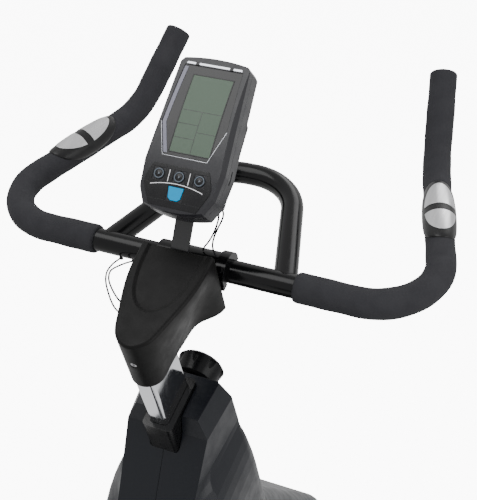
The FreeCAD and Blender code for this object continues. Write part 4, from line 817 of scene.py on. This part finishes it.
def inflate(pad, floor, limit):
    """Swells the pad with a short cloth run, its underside held, each point moving no more than the limit."""
    scene = bpy.context.scene
    start = [v.co.copy() for v in pad.data.vertices]
    held = pad.vertex_groups.new(name="held")
    held.add([v.index for v in pad.data.vertices if v.co.z < floor + 0.006], 1.0, "REPLACE")
    cloth = pad.modifiers.new("cloth", "CLOTH")
    cloth.settings.use_pressure = True
    cloth.settings.uniform_pressure_force = 4.0
    cloth.settings.effector_weights.gravity = 0.0
    cloth.settings.quality = 5
    cloth.settings.vertex_group_mass = "held"
    cloth.point_cache.frame_start = 1
    cloth.point_cache.frame_end = 20
    scene.frame_start, scene.frame_end = 1, 20
    for number in range(1, 21):
        scene.frame_set(number)
    apply_modifiers(pad)
    for vertex, before in zip(pad.data.vertices, start):
        moved = vertex.co - before
        if moved.length > limit:
            vertex.co = before + moved * (limit / moved.length)
    scene.frame_set(1)


def saddle_pad():
    """The padded saddle: inflated vinyl over the base, with a pressure channel down its middle."""
    low, high = (Vector(corner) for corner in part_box("saddle_cushion"))
    middle = (low + high) / 2.0
    mesh = nodes["saddle_cushion"].data.copy()
    pad = bpy.data.objects.new("saddle_pad", mesh)
    bpy.context.scene.collection.objects.link(pad)
    for vertex in mesh.vertices:
        place = vertex.co
        vertex.co = Vector((middle.x + (place.x - middle.x) * 0.95,
                            middle.y + (place.y - middle.y) * 0.965,
                            low.z + (place.z - low.z) * 0.90))
    remesh = pad.modifiers.new("remesh", "REMESH")
    remesh.mode = "VOXEL"
    remesh.voxel_size = 0.005
    apply_modifiers(pad)
    inflate(pad, low.z, 0.007)
    for vertex in pad.data.vertices:
        share = (vertex.co.z - low.z) / (high.z - low.z)
        if share < 0.35:
            continue
        along = (vertex.co.y - low.y) / (high.y - low.y)
        channel = math.exp(-(vertex.co.x / 0.011) ** 2) * math.exp(-((along - 0.42) / 0.34) ** 4)
        dip = 0.006 * (1.0 - math.cos(math.pi * min(max((along - 0.25) / 0.5, 0.0), 1.0) * 2.0)) / 2.0
        vertex.co.z -= (0.008 * channel + dip) * share
    smooth = pad.modifiers.new("smooth", "SMOOTH")
    smooth.iterations = 4
    smooth.factor = 0.5
    finer = pad.modifiers.new("finer", "SUBSURF")
    finer.levels = finer.render_levels = 1
    apply_modifiers(pad)
    pad.data.shade_smooth()
    pad.data.materials.clear()
    pad.data.materials.append(MATERIALS["saddle_vinyl"])
    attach(pad, "saddle")
    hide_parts("saddle_cushion")
    return pad


def saddle_seam(pad, name, height, inset, radius):
    """A stitched welt that follows the pad's side at one height."""
    low, high = (Vector(corner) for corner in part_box("saddle_cushion"))
    middle = (low + high) / 2.0
    level = low.z + (high.z - low.z) * height
    curve = bpy.data.curves.new(name, "CURVE")
    curve.dimensions = "3D"
    curve.bevel_depth = radius
    curve.bevel_resolution = 3
    spline = curve.splines.new("NURBS")
    count = 72
    spline.points.add(count - 1)
    for i, point in enumerate(spline.points):
        angle = 2.0 * math.pi * i / count
        away = Vector((math.cos(angle), math.sin(angle) * 1.3, 0.0)).normalized()
        start = Vector((middle.x, middle.y, level)) + away * 0.4
        hit, place, normal, face = pad.ray_cast(start, -away)
        flat = Vector((normal.x, normal.y, 0.0))
        point.co = (*(place - flat.normalized() * inset), 1.0)
    spline.order_u = 4
    spline.use_cyclic_u = True
    piece = bpy.data.objects.new(name, curve)
    bpy.context.scene.collection.objects.link(piece)
    curve.materials.append(MATERIALS["saddle_vinyl"])
    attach(piece, "saddle")


# ---------------------------------------------------------------- housing and small hardware

def side_disc(name, centre, side, profile, material, body):
    """A turned cover on one side of the bike."""
    bm = bmesh.new()
    disc_profile(bm, centre, Vector((side, 0.0, 0.0)), profile, 96)
    return new_piece(name, bm, material, body)


def housing_trim():
    """Round covers over the crank and the flywheel, and the screws that close the housing."""
    crank = Vector(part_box("crank_spindle")[0]).lerp(Vector(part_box("crank_spindle")[1]), 0.5)
    wheel = Vector(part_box("flywheel_axle")[0]).lerp(Vector(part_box("flywheel_axle")[1]), 0.5)
    for side, label in SIDES:
        face = abs(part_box("housing_right")[1][0]) - 0.0004
        ring = [(0.026, -0.001), (0.026, 0.0035), (0.030, 0.0042), (0.052, 0.0030), (0.058, 0.0008),
                (0.060, -0.001)]
        side_disc("crank_cover_" + label, Vector((side * face, crank.y, crank.z)), side,
                  ring + ring[:1],
                  "cap_plastic", "frame")
        rim = [(0.104, -0.001), (0.106, 0.0016), (0.112, 0.0022), (0.118, 0.0016), (0.120, -0.001)]
        side_disc("crank_rim_" + label, Vector((side * face, crank.y, crank.z)), side, rim + rim[:1],
                  "housing_plastic", "frame")
        hub = [(0.0, 0.0028), (0.030, 0.0024), (0.040, 0.0008), (0.042, -0.001), (0.0, -0.001)]
        side_disc("axle_cover_" + label, Vector((side * face, wheel.y, wheel.z)), side, hub,
                  "cap_plastic", "frame")
        rim = [(0.148, -0.001), (0.150, 0.0016), (0.157, 0.0024), (0.164, 0.0016), (0.166, -0.001)]
        side_disc("wheel_rim_" + label, Vector((side * face, wheel.y, wheel.z)), side, rim + rim[:1],
                  "housing_plastic", "frame")
        for i, (y, z) in enumerate(((0.16, 0.155), (-0.03, 0.19), (0.08, 0.62), (0.36, 0.462),
                                    (-0.26, 0.30))):
            head = [(0.0, 0.0004), (0.0012, 0.0004), (0.0016, 0.0014), (0.0030, 0.0013),
                    (0.0042, 0.0004),
                    (0.0042, -0.001), (0.0, -0.001)]
            side_disc("housing_screw_%s_%d" % (label, i), Vector((side * face, y, z)), side, head,
                      "steel", "frame")


def crank_caps():
    """Round caps over the crank bolts."""
    low, high = (Vector(corner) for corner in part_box("crank_spindle"))
    for side, label, x in ((-1, "left", low.x), (1, "right", high.x)):
        cap = [(0.0, 0.0035), (0.006, 0.0030), (0.0105, 0.0012), (0.0115, 0.0), (0.0, 0.0)]
        side_disc("crank_cap_" + label, Vector((x, (low.y + high.y) / 2.0, (low.z + high.z) / 2.0)),
                  side, cap,
                  "bush_plastic", "crankset")


def pedal_details():
    """Tread ribs, reflectors and a toe strap on each pedal."""
    for label in ("left", "right"):
        low, high = (Vector(corner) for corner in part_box("pedal_" + label))
        middle = (low + high) / 2.0
        bm = bmesh.new()
        for edge in (-1, 1):
            y = middle.y + edge * ((high.y - low.y) / 2.0 - 0.0055)
            for i in range(9):
                x = low.x + 0.014 + (high.x - low.x - 0.028) * i / 8.0
                for level in (low.z, high.z):
                    block = bmesh.ops.create_cube(bm, size=1.0)["verts"]
                    bmesh.ops.scale(bm, vec=(0.0045, 0.008, 0.0024), verts=block)
                    bmesh.ops.translate(bm, vec=(x, y, level), verts=block)
        ribs = new_piece("pedal_ribs_" + label, bm, "rubber", "pedal_" + label, smooth=False)
        bevel(ribs, 0.0006, 2)
        bm = bmesh.new()
        for edge in (-1, 1):
            y = middle.y + edge * ((high.y - low.y) / 2.0)
            block = bmesh.ops.create_cube(bm, size=1.0)["verts"]
            bmesh.ops.scale(bm, vec=(0.052, 0.003, 0.013), verts=block)
            bmesh.ops.translate(bm, vec=(middle.x, y, middle.z), verts=block)
        lens = new_piece("pedal_reflectors_" + label, bm, "amber", "pedal_" + label,
                         smooth=False)
        bevel(lens, 0.001, 3)
        bm = bmesh.new()
        count = 28
        width, thick = 0.024, 0.0024
        half = (high.x - low.x) / 2.0 - 0.004
        rings = []
        for i in range(count + 1):
            angle = math.pi * i / count
            out = Vector((-math.cos(angle) * half, 0.0, 0.052 * math.sin(angle) ** 0.7))
            normal = Vector((-math.cos(angle), 0.0, 0.8 * math.sin(angle))).normalized()
            centre = Vector((middle.x, middle.y + 0.012, high.z - 0.002)) + out
            rings.append([bm.verts.new(centre + Vector((0.0, dy, 0.0)) + normal * dn)
                          for dy, dn in ((-width / 2, 0.0), (width / 2, 0.0), (width / 2, thick),
                                         (-width / 2, thick))])
        skin(bm, rings)
        strap = new_piece("pedal_strap_" + label, bm, "rubber", "pedal_" + label)
        bevel(strap, 0.0007, 2)


def lead_grommets():
    """Small rubber rings where the leads leave the bar and enter the cover."""
    for node, route in CABLE_ROUTES.items():
        start, second = Vector(route[0]), Vector(route[1])
        away = (second - start).normalized()
        bm = bmesh.new()
        ring = [(0.0012, -0.0012), (0.0012, 0.0014), (0.0018, 0.0018), (0.0027, 0.0006),
                (0.0030, -0.0012)]
        disc_profile(bm, bar + start, away, ring + ring[:1], 24)
        new_piece(node + "_grommet", bm, "rubber", "handlebar")


# ---------------------------------------------------------------- stage, lights and camera

BACKDROP_RADIUS = 14.0
BACKDROP_GLOW = 9.0
CAMERA_LENS = 78.54
CAMERA_PLACE = Vector((0.48607, -0.97449, 0.69992))
CAMERA_TARGET = Vector((0.03352, 0.05488, -0.00578))


def stage():
    """A plain white floor and a white sweep round it, which light nothing, under a soft even sky light."""
    f = Finish("studio_floor", 0.85)
    f.colour(f.blend(f.noise(0.6, 2.0), (0.90, 0.90, 0.90), (0.93, 0.93, 0.93)))
    f.set(Emission_Color=(1.0, 1.0, 1.0, 1.0), Emission_Strength=BACKDROP_GLOW, Specular_IOR_Level=0.0)
    mesh = bpy.data.meshes.new("floor")
    half = BACKDROP_RADIUS
    mesh.from_pydata([(-half, -half, 0.0), (half, -half, 0.0), (half, half, 0.0),
                      (-half, half, 0.0)], [],
                     [(0, 1, 2, 3)])
    floor = bpy.data.objects.new("floor", mesh)
    bpy.context.scene.collection.objects.link(floor)
    mesh.materials.append(f.material)
    bm = bmesh.new()
    bmesh.ops.create_uvsphere(bm, u_segments=48, v_segments=24, radius=half)
    sky_mesh = bpy.data.meshes.new("sky")
    bm.to_mesh(sky_mesh)
    bm.free()
    sky = bpy.data.objects.new("sky", sky_mesh)
    bpy.context.scene.collection.objects.link(sky)
    sky_mesh.materials.append(f.material)
    for backdrop in (floor, sky):
        backdrop.visible_diffuse = False
        backdrop.visible_glossy = False
    sky.visible_shadow = False
    world = bpy.data.worlds.new("studio")
    bpy.context.scene.world = world
    world.use_nodes = True
    world.node_tree.nodes["Background"].inputs["Color"].default_value = (1.0, 1.0, 1.0, 1.0)
    world.node_tree.nodes["Background"].inputs["Strength"].default_value = 1.0


def softbox(name, place, target, width, height, power):
    """A rectangular area light aimed at a target."""
    light = bpy.data.lights.new(name, "AREA")
    light.shape = "RECTANGLE"
    light.size = width
    light.size_y = height
    light.energy = power
    lamp = bpy.data.objects.new(name, light)
    bpy.context.scene.collection.objects.link(lamp)
    lamp.location = place
    lamp.rotation_euler = (Vector(target) - Vector(place)).to_track_quat("-Z", "Y").to_euler()


def camera():
    """The photograph's view: right of and above the rider's place, looking at the handlebar's middle."""
    data = bpy.data.cameras.new("camera")
    data.sensor_width = 36.0
    data.lens = CAMERA_LENS
    rig = bpy.data.objects.new("camera", data)
    bpy.context.scene.collection.objects.link(rig)
    rig.location = bar + CAMERA_PLACE
    target = bar + CAMERA_TARGET
    rig.rotation_euler = (target - rig.location).to_track_quat("-Z", "Y").to_euler()
    bpy.context.scene.camera = rig


# ---------------------------------------------------------------- assembly

dress_cad()
for cable_node, cable_route in CABLE_ROUTES.items():
    lead(cable_node, cable_route)
lead_grommets()
foam_grip(1, "grip_right")
foam_grip(-1, "grip_left")
sensor_shells()
sensor_plates()
lcd_graphics()
lens_trim()
button_panel()
button_rings()
shield_arc()
saddle = saddle_pad()
saddle_seam(saddle, "saddle_welt", 0.34, 0.0002, 0.0014)
housing_trim()
crank_caps()
pedal_details()
stage()
softbox("key", bar + Vector((-0.9, -0.6, 2.2)), bar, 1.8, 1.4, 30.0)
softbox("right_fill", bar + Vector((2.2, -0.5, 0.6)), bar, 1.4, 2.0, 26.0)
softbox("back", bar + Vector((0.4, 2.4, 1.6)), bar, 2.2, 1.2, 22.0)
camera()
